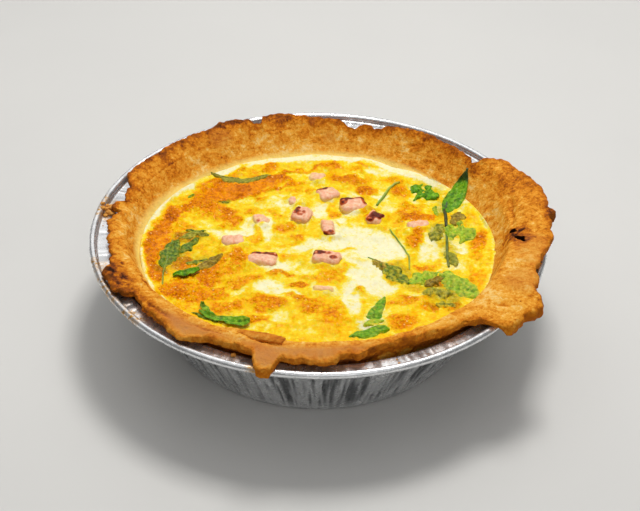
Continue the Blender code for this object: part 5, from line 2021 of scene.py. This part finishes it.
@dataclass
class Stems:
    """Thin stems that lie on the filling."""

    steps: int = 30
    # Radius, how scorched, and the route.
    routes: tuple[tuple[float, float, tuple[tuple[float, float], ...]], ...] = (
        (0.42, 0, ((17, 21), (19, 25), (21, 30), (24, 33))),
        (0.24, 0, ((20.5, 9), (24, 1), (25.5, -4), (25.3, -10))),
        (0.24, 0.2, ((-41, 2), (-41.8, -6), (-42.4, -13), (-42, -19))),
        (0.5, 0.95, ((36.7, 20.5), (36.9, 17), (36.8, 14), (36.6, 10))),
        (0.4, 0.6, ((36.6, 7), (36.4, 2), (36.1, -4), (36.2, -9))),
        (0.22, 0.1, ((14, -4.6), (15.6, -6.4), (17.2, -7.6), (19, -9.6))),
        (0.45, 0.85, ((41.2, 26.6), (42.2, 28.8), (43.2, 30.8), (44, 32.6))),
        (0.26, 0.9, ((37, 20), (37.6, 23), (39, 26.4), (41.4, 29.6))),
    )

    def build(self, ground: Ground) -> Piece:
        """Make the stems as one piece.

        Args:
            ground: what they lie on.

        Returns:
            The dressed stems.
        """
        done = []
        for radius, scorched, route in self.routes:
            share = np.linspace(0.0, 1.0, self.steps)
            place = soften(along_knots(share, route), 6)
            height = ground.heights(place) + radius * 0.5
            for _ in range(4):
                height[1:-1] = np.maximum(height[1:-1], (height[:-2] + height[2:]) / 2 - 0.02)
            radii = radius * (0.75 + 0.25 * np.sin(np.pi * share) ** 0.5)
            stem = tube(np.column_stack([place, height]), radii)
            stem.marks["scorched"] = np.full(len(stem.points), scorched)
            done.append(stem)
        stems = join(done).make("stems", StemFinish().material())
        return dress(stems, [])


@dataclass
class Crumbs:
    """Loose crumbs on the tin's flange."""

    seed: int = 3
    shape: tuple[float, float, float] = (1.0, 0.8, 0.6)
    sunk: float = 0.24
    # Angle, radius and size of each crumb.
    places: Rows = (
        (-111, 58, 1.5), (-105, 60.6, 0.8), (-70, 60.2, 0.7), (-70, 58.6, 0.45), (-66, 60.4, 0.4),
        (-78, 60.2, 0.4), (-54, 60.4, 0.4), (-139, 60.3, 0.5), (178, 60.4, 0.35), (150, 60.4, 0.4),
        (170, 59.6, 2.4), (172.2, 59.8, 2.1), (170.6, 61, 2), (169.2, 61.4, 1.5), (171.8, 61.6, 1.6),
        (173.4, 60.6, 1.4), (170.4, 62.2, 1.3), (172.6, 58.9, 1.8),
    )

    def build(self, ground: Ground) -> Piece:
        """Make the crumbs as one piece.

        Args:
            ground: what they lie on.

        Returns:
            The dressed crumbs.
        """
        grain = Grain(self.seed)
        done = []
        for angle, radius, size in self.places:
            shape = bmesh.new()
            bmesh.ops.create_icosphere(shape, subdivisions=3, radius=size / 2)
            points = np.array([tuple(corner.co) for corner in shape.verts])
            faces = [tuple(corner.index for corner in face.verts) for face in shape.faces]
            shape.free()
            x, y = radius * math.cos(math.radians(angle)), radius * math.sin(math.radians(angle))
            points = points * np.array(self.shape)
            points = points * (1.0 + 0.35 * grain.rough(points / size * 4.0 + angle, 1.6, 2))[:, None]
            points = points + np.array([x, y, ground.height(x, y) + size * self.sunk])
            done.append(Surface(points, faces, {"loose": np.ones(len(points))}))
        crumbs = join(done).make("crumbs", CrumbFinish().material())
        return dress(crumbs, [])


# ---- studio ----
@dataclass(frozen=True)
class Lamp:
    """A soft square light, aimed at the quiche."""

    name: str
    place: tuple[float, float, float]
    size: float
    watts: float
    colour: Colour

    def build(self, aim: Vector) -> Piece:
        """Make the light.

        Args:
            aim: the point that it faces, in metres.

        Returns:
            The light's object.
        """
        light = bpy.data.lights.new(self.name, "AREA")
        light.size = self.size
        light.energy = self.watts
        light.color = self.colour
        obj = bpy.data.objects.new(self.name, light)
        obj.location = self.place
        obj.rotation_euler = (aim - obj.location).to_track_quat("-Z", "Y").to_euler()
        bpy.context.scene.collection.objects.link(obj)
        return obj


@dataclass
class Studio:
    """The pale floor, the soft lights and the camera. Places here are in metres."""

    floor_half: float = 2.0
    aim: tuple[float, float, float] = (0.00057, -0.013, 0.0297)
    distance: float = 0.4106
    elevation: float = 35.8
    roll: float = 0.65
    lens_mm: float = 85.0
    world: Colour = (1.0, 1.0, 1.0)
    world_strength: float = 0.14
    lamps: tuple[Lamp, ...] = (
        Lamp("key", (0.05, 0.16, 0.55), 0.16, 1.9, (1.0, 0.985, 0.955)),
        Lamp("panel", (0.0, 0.0, 0.85), 1.3, 2.9, (1.0, 0.99, 0.98)),
        Lamp("back", (-0.15, 0.95, 0.72), 1.1, 3.0, (1.0, 0.995, 0.99)),
        Lamp("fill", (0.1, -0.5, 0.35), 0.4, 0.4, (1.0, 0.99, 0.98)),
    )

    def build(self) -> None:
        """Make the floor, the lights, the world and the camera."""
        half = self.floor_half / MM
        corners = np.array([[-half, -half, 0.0], [half, -half, 0.0], [half, half, 0.0], [-half, half, 0.0]])
        floor = Surface(corners, [(0, 1, 2, 3)]).make("floor", FloorFinish().material())
        for lamp in self.lamps:
            lamp.build(Vector(self.aim))
        world = bpy.data.worlds.new("studio")
        world.use_nodes = True
        background = world.node_tree.nodes["Background"]
        background.inputs["Color"].default_value = (*self.world, 1.0)
        background.inputs["Strength"].default_value = self.world_strength
        bpy.context.scene.world = world
        bpy.context.scene.view_settings.view_transform = "Standard"
        self.camera()

    def camera(self) -> None:
        """Make the camera, which looks down on the quiche from the front."""
        data = bpy.data.cameras.new("camera")
        data.lens = self.lens_mm
        camera = bpy.data.objects.new("camera", data)
        rise = math.radians(self.elevation)
        back = Vector((0.0, -math.cos(rise), math.sin(rise)))
        camera.location = Vector(self.aim) + back * self.distance
        tilt = Matrix.Rotation(math.pi / 2 - rise, 3, "X") @ Matrix.Rotation(math.radians(self.roll), 3, "Z")
        camera.rotation_euler = tilt.to_euler()
        bpy.context.scene.collection.objects.link(camera)
        bpy.context.scene.camera = camera


def main() -> None:
    """Build every sub-assembly in order."""
    logging.basicConfig(level=logging.INFO, format="%(name)s %(message)s")
    Studio().build()
    tin = FoilTin()
    tin_piece = tin.build()
    case = PastryCase(tin)
    pastry = case.build()
    ham = HamDice().build()
    custard = Custard(case).build()
    ground = Ground([pastry, custard, ham])
    Leaves().build(ground)
    Stems().build(ground)
    Crumbs().build(Ground([tin_piece]))


if __name__ == "__main__":
    main()
